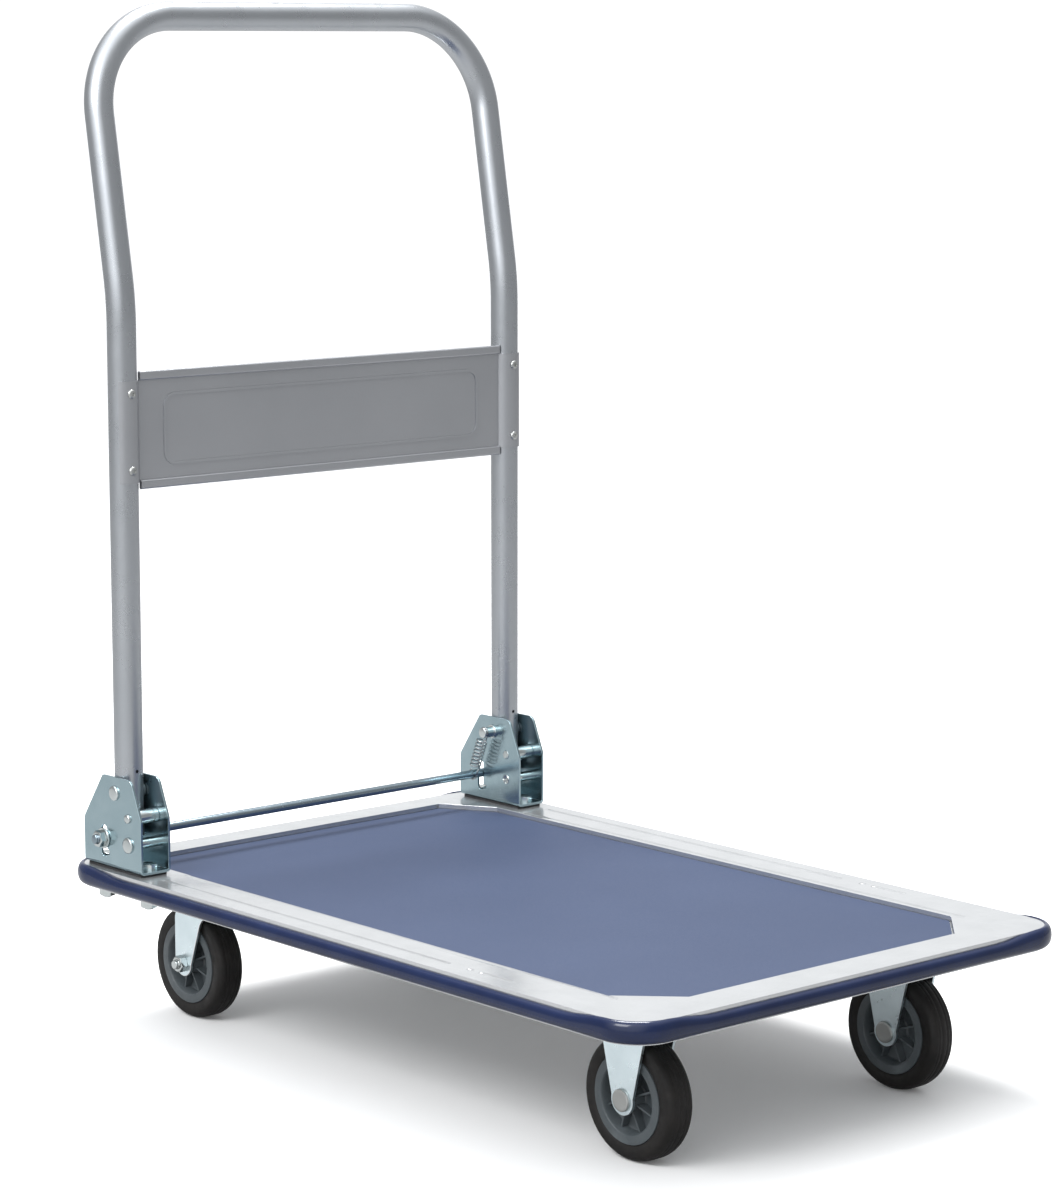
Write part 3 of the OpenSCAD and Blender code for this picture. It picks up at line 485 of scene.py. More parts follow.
def rounded_start(radius, start, chamfer):
    """The first entries of a profile that begins in a small round at height start."""
    return list(reversed(rounded_end(radius, start, -chamfer)))


def thread_profile(radius, pitch, start, end, depth=0.55):
    """A helical V thread from start to end, fading out at both ends."""
    entries = []
    count = int((end - start) / pitch * 8)
    for i in range(count + 1):
        height = start + (end - start) * i / count
        fade = min(1.0, (height - start) / pitch, (end - height) / pitch)

        def groove(a, height=height, fade=fade):
            phase = (height / pitch - a / math.tau) % 1.0
            return radius - depth * fade * abs(2 * phase - 1)
        entries.append((groove, height))
    return entries


def hex_head(across_flats, height):
    """A hexagon with a turned chamfer and a shallow dish on top."""
    radius = hex_radius(across_flats)
    flat = CHAMFER_SHARE * across_flats / 2
    return turned([(radius, 0), (radius, hex_chamfer(across_flats, height, True)), (flat, height),
                   (flat - 0.8, height), (flat - 1.1, height - 0.18)], HEX_STEPS)


def hex_nut(across_flats, height, bore):
    """A hexagon with a chamfered bore and both faces turned."""
    radius = hex_radius(across_flats)
    flat = CHAMFER_SHARE * across_flats / 2
    lead = 0.6
    return turned([(radius, hex_chamfer(across_flats, 0, False)),
                   (radius, hex_chamfer(across_flats, height, True)), (flat, height),
                   (bore + lead, height), (bore, height - lead), (bore, lead), (bore + lead, 0),
                   (flat, 0)], HEX_STEPS, closed=True)


def sleeve(outer, inner, length, edge):
    """A straight sleeve or washer with its four edges chamfered."""
    outside = [(outer - edge, 0), (outer, edge), (outer, length - edge), (outer - edge, length)]
    bore = [(inner + edge, length), (inner, length - edge), (inner, edge), (inner + edge, 0)]
    return turned(outside + bore, closed=True)


def mesh_solids(bm):
    """Groups of connected vertices."""
    left = set(bm.verts)
    while left:
        stack = [left.pop()]
        group = []
        while stack:
            vert = stack.pop()
            group.append(vert)
            for edge in vert.link_edges:
                other = edge.other_vert(vert)
                if other in left:
                    left.remove(other)
                    stack.append(other)
        yield group


def solids(node):
    """(low, high) corners of each separate solid of a CAD node, in metres."""
    bm = cad_copy(node)
    boxes = []
    for group in mesh_solids(bm):
        low = Vector([min(v.co[k] for v in group) for k in range(3)])
        high = Vector([max(v.co[k] for v in group) for k in range(3)])
        boxes.append((low, high))
    bm.free()
    return sorted(boxes, key=lambda pair: tuple(pair[0]))


def rebuild(node, build):
    """Replaces each solid of a CAD node with build(low, high, side), joined as one piece.

    Every builder takes a solid's corners and its side of the cart, 1 for left and -1 for right,
    whether or not it needs the side.
    """
    forms = [build(low, high, 1 if low.y > 0 else -1) for low, high in solids(node)]
    return make(node + "_finished", merged(forms), BODY_OF[node], SLOT_OF[node], node)


def on_axis(low, high, axis):
    """The point on a solid's own axis at its low end along axis."""
    middle = (low + high) / 2
    middle["XYZ".index(axis)] = low["XYZ".index(axis)]
    return middle


def length_of(low, high, axis):
    """A solid's length along an axis, in millimetres."""
    k = "XYZ".index(axis)
    return (high[k] - low[k]) / MM


def radius_of(low, high):
    """Half a solid's width along X, in millimetres."""
    return length_of(low, high, "X") / 2


# ---------------------------------------------------------------- fasteners and pins

# Millimetres: HEX is across flats, HEAD and the other heads are heights, M8 is the shank's radius.
HEX = 13.0
HEAD = 5.3
M8 = 4.0
M8_PITCH = 1.25
WASHER_EDGE = 0.25
PIN_HEAD = 2.2
PIVOT_PIN_R = 5.0
PIVOT_COLLAR = 1.5
STOP_PIN_R = 4.5
BUSH_WALL = 1.95
AXLE_R = 4.0
AXLE_HEAD = 2.4


def m8_bolt(length, thread):
    """A hex head above z = 0 and a shank below it, threaded over its last stretch."""
    profile = rounded_start(M8, -length, 0.7)
    profile += thread_profile(M8, M8_PITCH, 0.8 - length, thread - length)
    shank = turned(profile + [(M8, 0.4)], steps=40)
    return merged([hex_head(HEX, HEAD), shank])


def upright_bolt(low, high, axis, thread, turn):
    """A bolt with its head at its upper end for axis Z, and at its lower end for axis -Z."""
    place = (low + high) / 2
    place.z = high.z - HEAD * MM if axis == "Z" else low.z + HEAD * MM
    return placed(m8_bolt(length_of(low, high, "Z") - HEAD, thread), place, axis, turn)


def bracket_bolt(low, high, side):
    return upright_bolt(low, high, "Z", 22, 15)


def caster_bolt(low, high, side):
    return upright_bolt(low, high, "-Z", 12, 20)


def vertical_nut(low, high, side):
    return placed(hex_nut(HEX, length_of(low, high, "Z"), M8), on_axis(low, high, "Z"), "Z", 15)


def side_nut(low, high, side):
    turn = 8 if side > 0 else 37
    return placed(hex_nut(HEX, length_of(low, high, "Y"), M8), on_axis(low, high, "Y"), "Y", turn)


def flat_washer(low, high, side):
    form = sleeve(radius_of(low, high), M8 + 0.3, length_of(low, high, "Z"), WASHER_EDGE)
    return placed(form, on_axis(low, high, "Z"))


def side_washer(low, high, side):
    form = sleeve(radius_of(low, high), M8, length_of(low, high, "Y"), WASHER_EDGE)
    return placed(form, on_axis(low, high, "Y"), "Y")


def outward(low, high, side):
    """The end of a Y axis nearer the cart's middle, the axis that leads out, and its length."""
    place = (low + high) / 2
    place.y = low.y if side > 0 else high.y
    return place, "Y" if side > 0 else "-Y", length_of(low, high, "Y")


def low_head(radius, seat, end):
    """The last entries of a profile: a flat domed head that starts at height seat."""
    return [(radius - 0.2, seat), (radius, seat + 0.2), (radius, end - 1.1),
            (radius - 0.3, end - 0.6), (radius - 1.1, end - 0.22), (radius - 2.4, end)]


def pivot_pin(low, high, side):
    """A pin with a groove for its spring, a collar inside the bracket and a head outside."""
    place, axis, length = outward(low, high, side)
    groove = (spring_y - abs(place.y)) / MM
    seat = length - PIN_HEAD
    collar = seat - bracket_width - PIVOT_COLLAR
    r = PIVOT_PIN_R
    profile = rounded_start(r, 0, 0.7) + [
        (r, groove - 1.2), (r - 1, groove - 0.9), (r - 1, groove + 0.9), (r, groove + 1.2),
        (r, collar), (r + 1.2, collar), (r + 1.5, collar + 0.3), (r + 1.5, collar + PIVOT_COLLAR),
        (r, collar + PIVOT_COLLAR), (r, seat)]
    profile += low_head(radius_of(low, high), seat, length)
    return placed(turned(profile), place, axis)


def upper_stop_pin(low, high, side):
    """A plain pin with one domed end."""
    place, axis, length = outward(low, high, side)
    radius = radius_of(low, high)
    profile = rounded_start(radius, 0, 0.3) + [
        (radius, length - 1.2), (radius - 0.4, length - 0.5), (radius - 1.4, length - 0.1),
        (radius - 2.4, length)]
    return placed(turned(profile), place, axis)


def staked_start(radius):
    """A pin end spread by a four-bladed punch, which leaves four shallow dents."""
    def dent(a):
        return 0.1 + 0.75 * max(0.0, math.cos(4 * a)) ** 3
    return [(0.5, 0.85), (radius - 1.2, dent), (radius - 0.4, 0.0), (radius, 0.3)]


def lower_stop_pin(low, high, side):
    """A pin with a staked end inside and a low head outside."""
    place, axis, length = outward(low, high, side)
    seat = length - PIN_HEAD
    profile = staked_start(STOP_PIN_R) + [(STOP_PIN_R, seat)]
    profile += low_head(radius_of(low, high), seat, length)
    return placed(turned(profile), place, axis)


def stop_sleeve(low, high, side):
    """A sleeve with one turned groove."""
    place, axis, length = outward(low, high, side)
    outer = radius_of(low, high)
    inner, mark, groove, edge = 4.1, 5.0, 0.7, 0.4
    profile = [(outer - edge, 0), (outer, edge), (outer, mark - groove),
               (outer - groove, mark - 0.5), (outer - groove, mark + 0.5), (outer, mark + groove),
               (outer, length - edge), (outer - edge, length), (inner, length), (inner, 0)]
    return placed(turned(profile, closed=True), place, axis)


def bush(low, high, side):
    place, axis, length = outward(low, high, side)
    outer = radius_of(low, high)
    return placed(sleeve(outer, outer - BUSH_WALL, length, 0.3), place, axis)


def riveted_axle(low, high, side):
    """A plain axle whose two ends are spread into flat round heads with a shallow dish."""
    place, axis, length = outward(low, high, side)
    head = radius_of(low, high)
    start = [(head - 2.2, 0.12), (head - 1.2, 0), (head - 0.35, 0.25),
             (head, 0.8), (head, 2.2), (head - 0.15, AXLE_HEAD)]
    shank = [(AXLE_R, AXLE_HEAD), (AXLE_R, length - AXLE_HEAD)]
    end = [(r, length - h) for r, h in reversed(start)]
    return placed(turned(start + shank + end), place, axis)


def axle_bolt(low, high, side):
    """The head is on the inside of the fork and the thread on the outside."""
    place, axis, length = outward(low, high, side)
    place.y += side * HEAD * MM
    opposite = {"Y": "-Y", "-Y": "Y"}[axis]
    return placed(m8_bolt(length - HEAD, 18), place, opposite, 11)


def king_pin(low, high, side):
    """A pin with a wide head at each end."""
    length = length_of(low, high, "Z")
    head, shank = 9.0, 6.0
    profile = rounded_start(head, 0, 0.8) + [
        (head, 4.6), (shank, 4.6), (shank, length - 3), (head, length - 3),
        (head, length - 1.2), (head - 0.8, length - 0.4), (head - 2, length)]
    return placed(turned(profile), on_axis(low, high, "Z"))


def blind_rivet(low, high, side):
    """A domed head with the snapped mandrel down its middle."""
    place = (low + high) / 2
    place.x = high.x
    depth = length_of(low, high, "X")
    head, shank = 4.0, 2.0
    profile = [(shank, -depth), (shank, -2.0), (head - 0.1, -2.0), (head, -1.7),
               (head - 0.25, -1.15), (head - 0.8, -0.6), (head - 1.6, -0.18), (1.75, 0.0),
               (1.35, -0.1), (1.2, -0.35), (1.15, -1.0), (0.9, -1.05), (0.55, -0.9)]
    return placed(turned(profile, steps=40), place, "X")


spring_y = centre("left_return_spring").y
bracket_low, bracket_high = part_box("left_handle_bracket")
bracket_width = length_of(bracket_low, bracket_high, "Y")

for node, build in (
        ("bracket_bolts", bracket_bolt), ("bracket_nuts", vertical_nut),
        ("bracket_washers", flat_washer),
        ("front_caster_bolts", caster_bolt), ("rear_caster_bolts", caster_bolt),
        ("front_caster_nuts", vertical_nut), ("rear_caster_nuts", vertical_nut),
        ("pivot_pins", pivot_pin), ("upper_stop_pins", upper_stop_pin),
        ("lower_stop_pins", lower_stop_pin),
        ("stop_sleeves", stop_sleeve), ("pivot_bushes", bush), ("kingpins", king_pin),
        ("release_bar_washers", side_washer), ("release_bar_nuts", side_nut),
        ("front_axles", riveted_axle), ("panel_rivets", blind_rivet),
        ("left_rear_axle", axle_bolt), ("right_rear_axle", axle_bolt),
        ("left_rear_axle_nut", side_nut), ("right_rear_axle_nut", side_nut),
        ("left_front_bush", bush), ("right_front_bush", bush),
        ("left_rear_bush", bush), ("right_rear_bush", bush)):
    rebuild(node, build)


# ---------------------------------------------------------------- release bar and springs

COIL_R = 5.0 * MM
COIL_TURNS = 8
TURN_STEPS = 28
HOOK_R = 5.1 * MM
HOOK_REACH = 7.4 * MM
WIRE_R = 0.7 * MM


def release_bar():
    """A plain rod with a threaded stretch at each end."""
    low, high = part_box("release_bar")
    half = length_of(low, high, "Y") / 2
    end_r = M8 - 0.1
    thread, chamfer, depth = 11.0, 0.8, 0.5
    profile = rounded_start(end_r, -half, chamfer)
    profile += thread_profile(M8, M8_PITCH, chamfer - half, thread - half, depth)
    profile += thread_profile(M8, M8_PITCH, half - thread, half - chamfer, depth)
    profile += rounded_end(end_r, half, chamfer)
    bm = placed(turned(profile, steps=40), (low + high) / 2, "Y")
    make("release_bar_finished", bm, "release", "bar_steel", "release_bar")


def swept(points, radius, sides=14, rounding=0.5):
    """A round wire along points, with its ends drawn in."""
    rings = []
    normal = None
    last = len(points) - 1
    for i, point in enumerate(points):
        along = (points[min(i + 1, last)] - points[max(i - 1, 0)]).normalized()
        if normal is None:
            normal = along.orthogonal().normalized()
        normal = (normal - along * normal.dot(along)).normalized()
        other = along.cross(normal)
        size = radius * (rounding if i in (0, last) else 1)
        rings.append([point + size * (math.cos(t) * normal + math.sin(t) * other)
                      for t in (math.tau * k / sides for k in range(sides))])
    return skinned(rings)


def spring_path(foot, top, side):
    """Centre line of an extension spring: a hook round each pin and an even coil between them."""
    along = (top - foot).normalized()
    across = along.cross(Vector((0, side, 0))).normalized()
    out = Vector((0, side, 0))
    span = (top - foot).length

    def hook(mirror):
        points = [(-HOOK_R * math.cos(math.radians(a)), HOOK_R * math.sin(math.radians(a)))
                  for a in range(-235, 1, 15)]
        points += [(-HOOK_R, 0.3 * HOOK_REACH), (-0.96 * HOOK_R, 0.6 * HOOK_REACH)]
        return [foot + across * p + along * (span - u if mirror else u) for p, u in points]

    coil = []
    steps = COIL_TURNS * TURN_STEPS
    for i in range(steps + 1):
        a = math.tau * COIL_TURNS * i / steps
        rise = HOOK_REACH + (span - 2 * HOOK_REACH) * i / steps
        coil.append(foot + COIL_R * (out * math.sin(a) - across * math.cos(a)) + along * rise)
    points = hook(False) + coil + list(reversed(hook(True)))
    for _ in range(2):
        points = [points[0]] + [(points[i - 1] + 2 * points[i] + points[i + 1]) / 4
                                for i in range(1, len(points) - 1)] + [points[-1]]
    return points


def return_spring(name, side):
    """A spring that stretches between the pivot pin, on the deck, and the release bar."""
    bar = centre("release_bar")
    pivot = centre("pivot_bushes")
    foot = Vector((bar.x, side * spring_y, bar.z))
    top = Vector((pivot.x, side * spring_y, pivot.z))
    bm = swept(spring_path(foot, top, side), WIRE_R)
    node = name + "_return_spring"
    piece = make(node + "_finished", bm, "release", "spring_steel", node, sharp=80)
    piece.parent = None  # it rides on no body, not on the single body that make() gave it
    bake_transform(piece)


release_bar()
for name, side in SIDES.items():
    return_spring(name, side)


# ---------------------------------------------------------------- wheels

# Radii in millimetres.
TYRE_SEAT = 36.3
HUB_RING = 28.0
RIBS = 8


def tyre_profile(outer, half):
    """Half a tyre section from the tread's middle to the hub: crown, shoulder, flat wall, bead."""
    crown = [(outer, 0.0), (outer - 0.02, 2.6), (outer - 0.22, 2.8),
             (outer - 0.22, 3.1), (outer - 0.04, 3.3),
             (outer - 0.12, 6.0), (outer - 0.34, 6.2), (outer - 0.36, 6.5), (outer - 0.26, 6.7),
             (outer - 0.7, half - 4.6), (outer - 1.2, half - 3.4), (outer - 1.9, half - 2.3),
             (outer - 2.7, half - 1.4), (outer - 3.6, half - 0.7), (outer - 4.6, half - 0.25)]
    wall = [(outer - 5.6, half - 0.05), (outer - 6.0, half),
            (TYRE_SEAT + 1.6, half), (TYRE_SEAT + 1.2, half - 0.3),
            (TYRE_SEAT + 0.5, half - 0.35), (TYRE_SEAT, half - 0.9)]
    return crown + wall


def tyre(place, half, outer):
    """A solid tyre about a Y axis through place."""
    upper = tyre_profile(outer, half)
    lower = [(r, -h) for r, h in reversed(upper[1:])]
    return placed(turned(upper + lower, steps=144, closed=True), place, "Y")


def hub_profile(half):
    """Half a hub section: bore, boss, web, then the ring that seats the tyre."""
    boss = [(6.0, half + 1.6), (6.9, half + 1.6), (7.2, half + 1.3), (8.6, half + 1.3),
            (9.2, half + 1.0), (9.6, half - 2.0)]
    web = [(10.4, 3.2), (11.6, 2.1), (25.2, 2.0), (26.6, 2.8), (27.2, half - 2.6)]
    ring = [(HUB_RING, half - 1.2), (HUB_RING + 0.3, half - 0.2), (HUB_RING + 1.0, half + 0.35),
            (TYRE_SEAT - 1.2, half + 0.35), (TYRE_SEAT - 0.4, half + 0.1),
            (TYRE_SEAT - 0.05, half - 0.8)]
    return boss + web + ring


def rib_form(half, angle):
    """One rib, drafted so that it thins towards both faces of the wheel."""
    inner, outer = 8.8, 27.4
    top_in, top_out = half - 2.2, half - 4.6
    thick, thin = 1.15, 0.75
    rings = []
    for r, top in ((inner, top_in), (outer, top_out)):
        section = ((-thin, -top), (thin, -top), (thick, 0), (thin, top), (-thin, top), (-thick, 0))
        rings.append([Vector((r, w, h)) * MM for w, h in section])
    bm = skinned(rings)
    bmesh.ops.transform(bm, matrix=Matrix.Rotation(angle, 4, "Z"), verts=bm.verts)
    return bm


def hub_mesh(half):
    """The hub about +Z, with its ribs fused on."""
    upper = hub_profile(half)
    lower = [(r, -h) for r, h in reversed(upper)]
    body = closed_mesh("hub_body", turned(upper + lower, steps=128, closed=True))
    ribs = merged([rib_form(half, math.tau * (i + 0.5) / RIBS) for i in range(RIBS)])
    piece = combined(linked("hub_body", body), closed_mesh("hub_ribs", ribs), "UNION")
    mesh = piece.data
    bpy.data.objects.remove(piece)
    return mesh


def wheels():
    """Four equal wheels; the left ones are turned a little, so that their ribs differ."""
    low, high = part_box("left_front_tyre")
    half = length_of(low, high, "Y") / 2
    outer = length_of(low, high, "Z") / 2
    hub = hub_mesh(half)
    for name in SIDES:
        for end in ("front", "rear"):
            place = centre(f"{name}_{end}_tyre")
            body = f"{name}_{end}_wheel"
            make(body + "_tyre", tyre(place, half, outer), body, "tyre_rubber",
                 f"{name}_{end}_tyre", sharp=50)
            bm = bmesh.new()
            bm.from_mesh(hub)
            turn = 4 if name == "left" else 0
            make(body + "_hub", placed(bm, place, "Y", turn), body, "hub_plastic",
                 f"{name}_{end}_hub", sharp=38)


wheels()


# ---------------------------------------------------------------- handle tube

HANDLE_LEAN = math.radians(9.76)
LEAN_STEPS = 14
BEND_STEPS = 32
# Metres.
LEAN_HEIGHT = 0.6338
LEAN_BEND_R = 0.25
HANDLE_CORNER_R = 0.084
TUBE_R = 0.0125
TUBE_WALL = 0.0015
VENT_RISE = 0.019
# Millimetres, for the turned cutters.
VENT_R = 1.5
BUSH_SEAT_R = 7.02


def handle_path():
    """Centre line from the right leg's lower end, over the top, to the left leg's lower end."""
    leg = centre("pivot_bushes")
    leg_y = centre("left_handle_bracket").y
    low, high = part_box("handle_tube")
    lean_start = LEAN_HEIGHT - LEAN_BEND_R * math.tan(HANDLE_LEAN / 2)
    up = [(leg.x, low.z), (leg.x, leg.z - 0.012), (leg.x, leg.z + 0.012), (leg.x, leg.z + 0.03),
          (leg.x, (leg.z + lean_start) / 2), (leg.x, lean_start - 0.01)]
    for i in range(LEAN_STEPS + 1):
        t = HANDLE_LEAN * i / LEAN_STEPS
        up.append((leg.x - LEAN_BEND_R * (1 - math.cos(t)), lean_start + LEAN_BEND_R * math.sin(t)))
    bend_x, bend_z = up[-1]
    lean = Vector((-math.sin(HANDLE_LEAN), 0, math.cos(HANDLE_LEAN)))
    length = (high.z - TUBE_R - bend_z) / math.cos(HANDLE_LEAN) - HANDLE_CORNER_R
    bend = Vector((bend_x, 0, bend_z))
    right = [Vector((x, -leg_y, z)) for x, z in up]
    right += [bend + lean * (length * k) - Vector((0, leg_y, 0)) for k in (0.03, 0.5, 0.97)]
    corner = bend + lean * length - Vector((0, leg_y - HANDLE_CORNER_R, 0))
    for i in range(BEND_STEPS + 1):
        t = math.pi / 2 * i / BEND_STEPS
        right.append(corner + HANDLE_CORNER_R * (lean * math.sin(t) - Vector((0, math.cos(t), 0))))
    right.append(right[-1] + Vector((0, 0.01, 0)))
    left = [Vector((p.x, -p.y, p.z)) for p in reversed(right)]
    return right + left


def pipe(points, outer, inner, sides=72):
    """A tube along points with a bore and slightly rounded ends."""
    last = len(points) - 1
    edge = 0.35 * MM

    def ring(i, radius, shift=0.0):
        along = (points[min(i + 1, last)] - points[max(i - 1, 0)]).normalized()
        side = Vector((-1, 0, 0)) if abs(along.x) < 0.5 else Vector((0, 0, 1))
        side = (side - along * side.dot(along)).normalized()
        other = along.cross(side)
        middle = points[i] + along * shift
        return [middle + radius * (math.cos(t) * side + math.sin(t) * other)
                for t in (math.tau * k / sides for k in range(sides))]

    outside = [ring(0, outer - edge), ring(0, outer, edge)]
    outside += [ring(i, outer) for i in range(1, last)]
    outside += [ring(last, outer, -edge), ring(last, outer - edge)]
    inside = [ring(i, inner) for i in range(last, -1, -1)]
    return skinned(outside + inside, closed=True)


def handle_tube():
    """The bent tube, with a vent hole and a cross bore for the pivot bush in each leg."""
    bm = pipe(handle_path(), TUBE_R, TUBE_R - TUBE_WALL)
    piece = make("handle_tube_finished", bm, "handle", "handle_paint", "handle_tube", sharp=50)
    leg = centre("pivot_bushes")
    leg_y = centre("left_handle_bracket").y
    reach = 1.6 * TUBE_R / MM
    forms = []
    for side in SIDES.values():
        middle = Vector((leg.x, side * leg_y, leg.z))
        vent = middle + Vector((0, 0, VENT_RISE))
        bore = turned([(BUSH_SEAT_R, -reach), (BUSH_SEAT_R, reach)], steps=72)
        forms.append(placed(turned([(VENT_R, 0), (VENT_R, reach)], steps=32), vent, "X"))
        forms.append(placed(bore, middle, "Y"))
    combined(piece, closed_mesh("cutter", merged(forms)), "DIFFERENCE")
    shade(piece.data, 50)


handle_tube()


# ---------------------------------------------------------------- bumper and mat

CORNER_STEPS = 14
# Metres.
DECK_CORNER_R = 0.032
CORNER_FADE = 0.045
STRAIGHT_STEP = 0.012
MAT_GRID = 0.008
MAT_WAVE = 0.25 * MM
MAT_LIFT = 0.9 * MM
MAT_LIFT_INSET = 0.018
MAT_LIFT_REACH = 0.022
MAT_DEPTH = 1.3 * MM


def deck_outline():
    """(point, outward normal, how near a corner: 0..1) round the deck, anticlockwise from above."""
    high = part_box("deck_pan")[1]
    radius = DECK_CORNER_R
    spots = []
    corners = [(1, 1), (-1, 1), (-1, -1), (1, -1)]
    for k, (sx, sy) in enumerate(corners):
        middle = Vector((sx * (high.x - radius), sy * (high.y - radius)))
        start = math.pi / 2 * k
        for i in range(CORNER_STEPS + 1):
            a = start + math.pi / 2 * i / CORNER_STEPS
            normal = Vector((math.cos(a), math.sin(a)))
            spots.append((middle + normal * radius, normal, 1.0))
        nx, ny = corners[(k + 1) % 4]
        following = Vector((nx * (high.x - radius), ny * (high.y - radius))) + normal * radius
        begin = spots[-1][0]
        length = (following - begin).length
        count = int(length / STRAIGHT_STEP)
        for i in range(1, count):
            point = begin.lerp(following, i / count)
            away = min(i, count - i) / count * length
            t = max(0.0, 1 - away / CORNER_FADE)
            spots.append((point, normal, t * t * (3 - 2 * t)))
    return spots


def bumper():
    """The vinyl strip, which rides up to the rim round each corner, with a tongue behind it."""
    low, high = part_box("edge_bumper")
    bulge = high.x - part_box("deck_pan")[1].x
    middle_z = (low.z + high.z) / 2
    half = (high.z - low.z) / 2
    rise, drop = 4.4 * MM, 0.4 * MM
    back, lip = 0.1 * MM, 0.3 * MM
    tongue, neck, tip = 2.6 * MM, 2.8 * MM, 2.5 * MM
    rings = []
    for point, normal, corner in deck_outline():
        top = middle_z + half + rise * corner
        bottom = middle_z - half - drop * corner
        z_mid, z_half = (top + bottom) / 2, (top - bottom) / 2
        section = [(back, bottom + lip)]
        for a in range(-84, 85, 8):
            t = math.radians(a)
            section.append((bulge * math.cos(t) ** 0.8, z_mid + z_half * math.sin(t)))
        section += [(back, top - lip), (back, middle_z + neck), (-tongue, middle_z + tip),
                    (-tongue, middle_z - tip), (back, middle_z - neck)]
        rings.append([Vector((*(point + normal * out), z)) for out, z in section])
    make("edge_bumper_finished", skinned(rings, closed=True), "deck", "bumper", "edge_bumper",
         sharp=45)


def mat_outline():
    """Corners of the mat, anticlockwise, from the CAD node's own outline."""
    low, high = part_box("anti_slip_mat")
    vertices = frame["nodes"]["anti_slip_mat"].data.vertices
    points = {(round(v.co.x, 5), round(v.co.y, 5)) for v in vertices}
    middle = (low + high) / 2

    def bearing(point):
        return math.atan2(point.y - middle.y, point.x - middle.x)

    return sorted((Vector(p) for p in points), key=bearing)


def mat_sheet(low, high):
    """A flat grid, trimmed to the mat's outline."""
    outline = mat_outline()
    bm = bmesh.new()
    size = max(high.x - low.x, high.y - low.y) + 2 * MAT_GRID
    count = int(size / MAT_GRID)
    bmesh.ops.create_grid(bm, x_segments=count, y_segments=count, size=size / 2)
    bmesh.ops.translate(bm, verts=bm.verts, vec=((low.x + high.x) / 2, 0, 0))
    for i, a in enumerate(outline):
        along = outline[(i + 1) % len(outline)] - a
        bmesh.ops.bisect_plane(bm, geom=bm.verts[:] + bm.edges[:] + bm.faces[:], dist=1e-7,
                               plane_co=(a.x, a.y, 0), plane_no=(along.y, -along.x, 0),
                               clear_outer=True)
    return bm


def mat():
    """A thin, almost flat vinyl sheet with a soft edge, lifting a little at the front right."""
    low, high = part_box("anti_slip_mat")
    bm = mat_sheet(low, high)
    lift_at = Vector((high.x - MAT_LIFT_INSET, low.y + MAT_LIFT_INSET))

    def height(x, y):
        wave = noise.noise(Vector((x * 9, y * 9, 3.1))) * MAT_WAVE
        away = (Vector((x, y)) - lift_at).length
        return high.z - MAT_WAVE + wave + math.exp(-(away / MAT_LIFT_REACH) ** 2) * MAT_LIFT

    rim = [e for e in bm.edges if e.is_boundary]
    base = bmesh.ops.extrude_edge_only(bm, edges=rim)["geom"]
    skirt = {v for v in base if isinstance(v, bmesh.types.BMVert)}
    for v in bm.verts:
        v.co.z = high.z - MAT_DEPTH if v in skirt else height(v.co.x, v.co.y)
    bmesh.ops.holes_fill(bm, edges=[e for e in bm.edges if e.is_boundary])
    piece = make("anti_slip_mat_finished", bm, "deck", "mat", "anti_slip_mat", sharp=60)
    add_bevel(piece, 0.5, 50)
    applied(piece)
    piece.data.shade_smooth()


bumper()
mat()


# ---------------------------------------------------------------- plates with rounded edges

# The width of each plate's rounded edges, in millimetres.
PLATE_EDGES = {
    "deck_pan": 0.8, "front_cross_member": 0.9, "rear_cross_member": 0.9, "centre_stiffener": 0.9,
    "left_handle_bracket": 0.45, "right_handle_bracket": 0.45, "bracket_pads": 0.4,
    "bracket_spacers": 0.2,
    "handle_panel": 0.55, "left_front_fork": 0.5, "right_front_fork": 0.5,
    "left_swivel_plate": 0.5, "right_swivel_plate": 0.5,
    "left_swivel_fork": 0.5, "right_swivel_fork": 0.5,
}

for node, width in PLATE_EDGES.items():
    softened(node, width)

for name in SIDES:
    balls = frame["nodes"][name + "_bearing_balls"]
    balls.data.materials.clear()
    balls.data.materials.append(MATERIALS["dark_steel"])


# ---------------------------------------------------------------- stage, light and camera

# Each part of the room's light: its direction, the cosines where it starts and is full, and the
# radiance there. Overhead, on one side, and behind the cart.
ROOM_GLOWS = (
    ((0, 0, 1), 0.45, 0.95, 0.42, 1.40),
    ((0.27, -0.82, 0.50), 0.55, 0.95, 0.0, 1.1),
    ((-0.74, 0.67, 0.09), 0.78, 0.99, 0.0, 0.55),
)
CAMERA_PLACE = Vector((2.24161, -1.99539, 0.84974))
CAMERA_FORWARD = Vector((-0.74161, 0.65347, -0.15163))
CAMERA_LENS = 108.91


def stage_floor():
    """Pale paper, which is darker to reflections and bounced light than to the camera."""
    bm = bmesh.new()
    bmesh.ops.create_circle(bm, cap_ends=True, segments=96, radius=40)
    floor = linked("floor", meshed("floor", bm))
    n = Nodes("floor_white")
    paper = n.cloud(3, 2.0, (0.93, 0.93, 0.93), (0.95, 0.95, 0.95))
    seen = n.add("ShaderNodeLightPath").outputs["Is Camera Ray"]
    n.finish(colour=n.mixed(seen, (0.32, 0.32, 0.32), paper),
             roughness=n.spread(n.noise(8, 2.0), 0.75, 0.85),
             Emission_Color=(1, 1, 1, 1), Emission_Strength=0.04)
    floor.data.materials.append(n.material)


def softbox(name, place, aim, size, power):
    """A rectangular lamp of width and height size, in watts."""
    light = bpy.data.lights.new(name, "AREA")
    light.shape = "RECTANGLE"
    light.size, light.size_y = size
    light.energy = power
    lamp = linked(name, light)
    lamp.location = place
    lamp.rotation_mode = "QUATERNION"
    lamp.rotation_quaternion = (Vector(aim) - Vector(place)).to_track_quat("-Z", "Y")


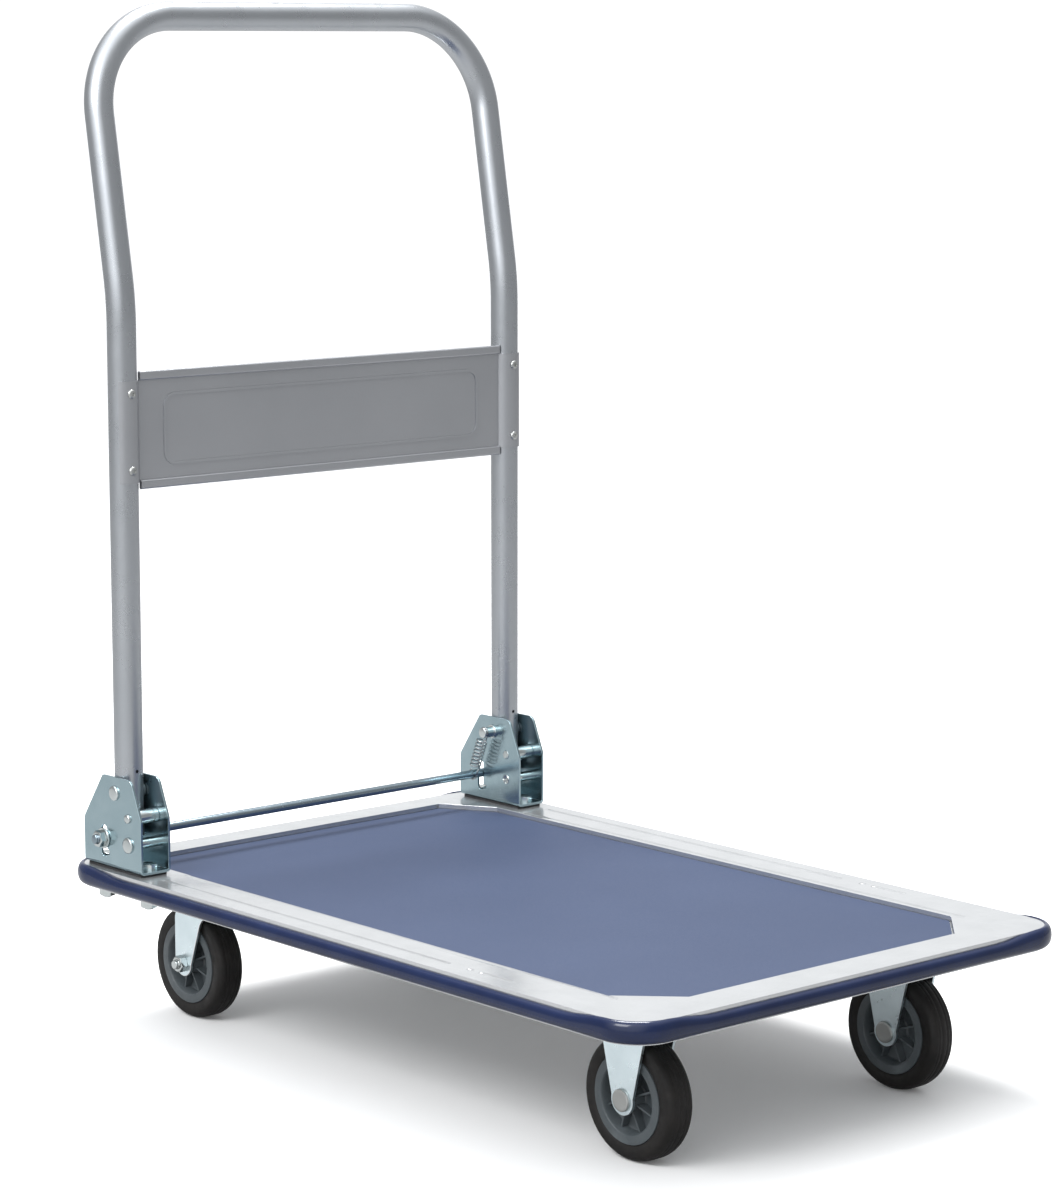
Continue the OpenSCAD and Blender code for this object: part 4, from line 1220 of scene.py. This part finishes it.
def glow(tree, direction, towards, low, high, least, most):
    """Radiance that rises from least to most as the cosine to a direction goes from low to high."""
    cosine = tree.nodes.new("ShaderNodeVectorMath")
    cosine.operation = "DOT_PRODUCT"
    cosine.inputs[1].default_value = Vector(towards).normalized()
    tree.links.new(direction, cosine.inputs[0])
    ramp = tree.nodes.new("ShaderNodeMapRange")
    ramp.interpolation_type = "SMOOTHSTEP"
    for key, number in zip(("From Min", "From Max", "To Min", "To Max"), (low, high, least, most)):
        ramp.inputs[key].default_value = number
    tree.links.new(cosine.outputs["Value"], ramp.inputs["Value"])
    return ramp.outputs["Result"]


def summed(tree, a, b):
    add = tree.nodes.new("ShaderNodeMath")
    add.operation = "ADD"
    tree.links.new(a, add.inputs[0])
    tree.links.new(b, add.inputs[1])
    return add.outputs["Value"]


def studio_world():
    """A soft room, brighter overhead, on one side and behind; the camera sees it plain white."""
    world = bpy.data.worlds.new("studio")
    world.use_nodes = True
    tree = world.node_tree
    direction = tree.nodes.new("ShaderNodeTexCoord").outputs["Generated"]
    overhead, side, behind = [glow(tree, direction, *values) for values in ROOM_GLOWS]
    room = tree.nodes["Background"]
    room.inputs["Color"].default_value = (0.97, 0.985, 1.0, 1)
    tree.links.new(summed(tree, summed(tree, overhead, side), behind), room.inputs["Strength"])
    white = tree.nodes.new("ShaderNodeBackground")
    white.inputs["Color"].default_value = (1, 1, 1, 1)
    white.inputs["Strength"].default_value = 1.1
    ray = tree.nodes.new("ShaderNodeLightPath")
    choose = tree.nodes.new("ShaderNodeMixShader")
    tree.links.new(ray.outputs["Is Camera Ray"], choose.inputs["Fac"])
    tree.links.new(room.outputs["Background"], choose.inputs[1])
    tree.links.new(white.outputs["Background"], choose.inputs[2])
    tree.links.new(choose.outputs["Shader"], tree.nodes["World Output"].inputs["Surface"])
    bpy.context.scene.world = world


def photo_camera():
    data = bpy.data.cameras.new("camera")
    data.sensor_width = 36
    data.lens = CAMERA_LENS
    data.clip_start = 0.05
    data.clip_end = 200
    camera = linked("camera", data)
    camera.location = CAMERA_PLACE
    camera.rotation_mode = "QUATERNION"
    camera.rotation_quaternion = CAMERA_FORWARD.to_track_quat("-Z", "Y")
    bpy.context.scene.camera = camera


stage_floor()
softbox("key", (0.45, -2.4, 2.1), (0, 0, 0.3), (1.5, 1.0), 45)
softbox("top", (-0.75, 0.45, 2.9), (0, 0, 0.0), (1.4, 1.1), 115)
studio_world()
photo_camera()
bpy.context.scene.view_settings.view_transform = "Standard"
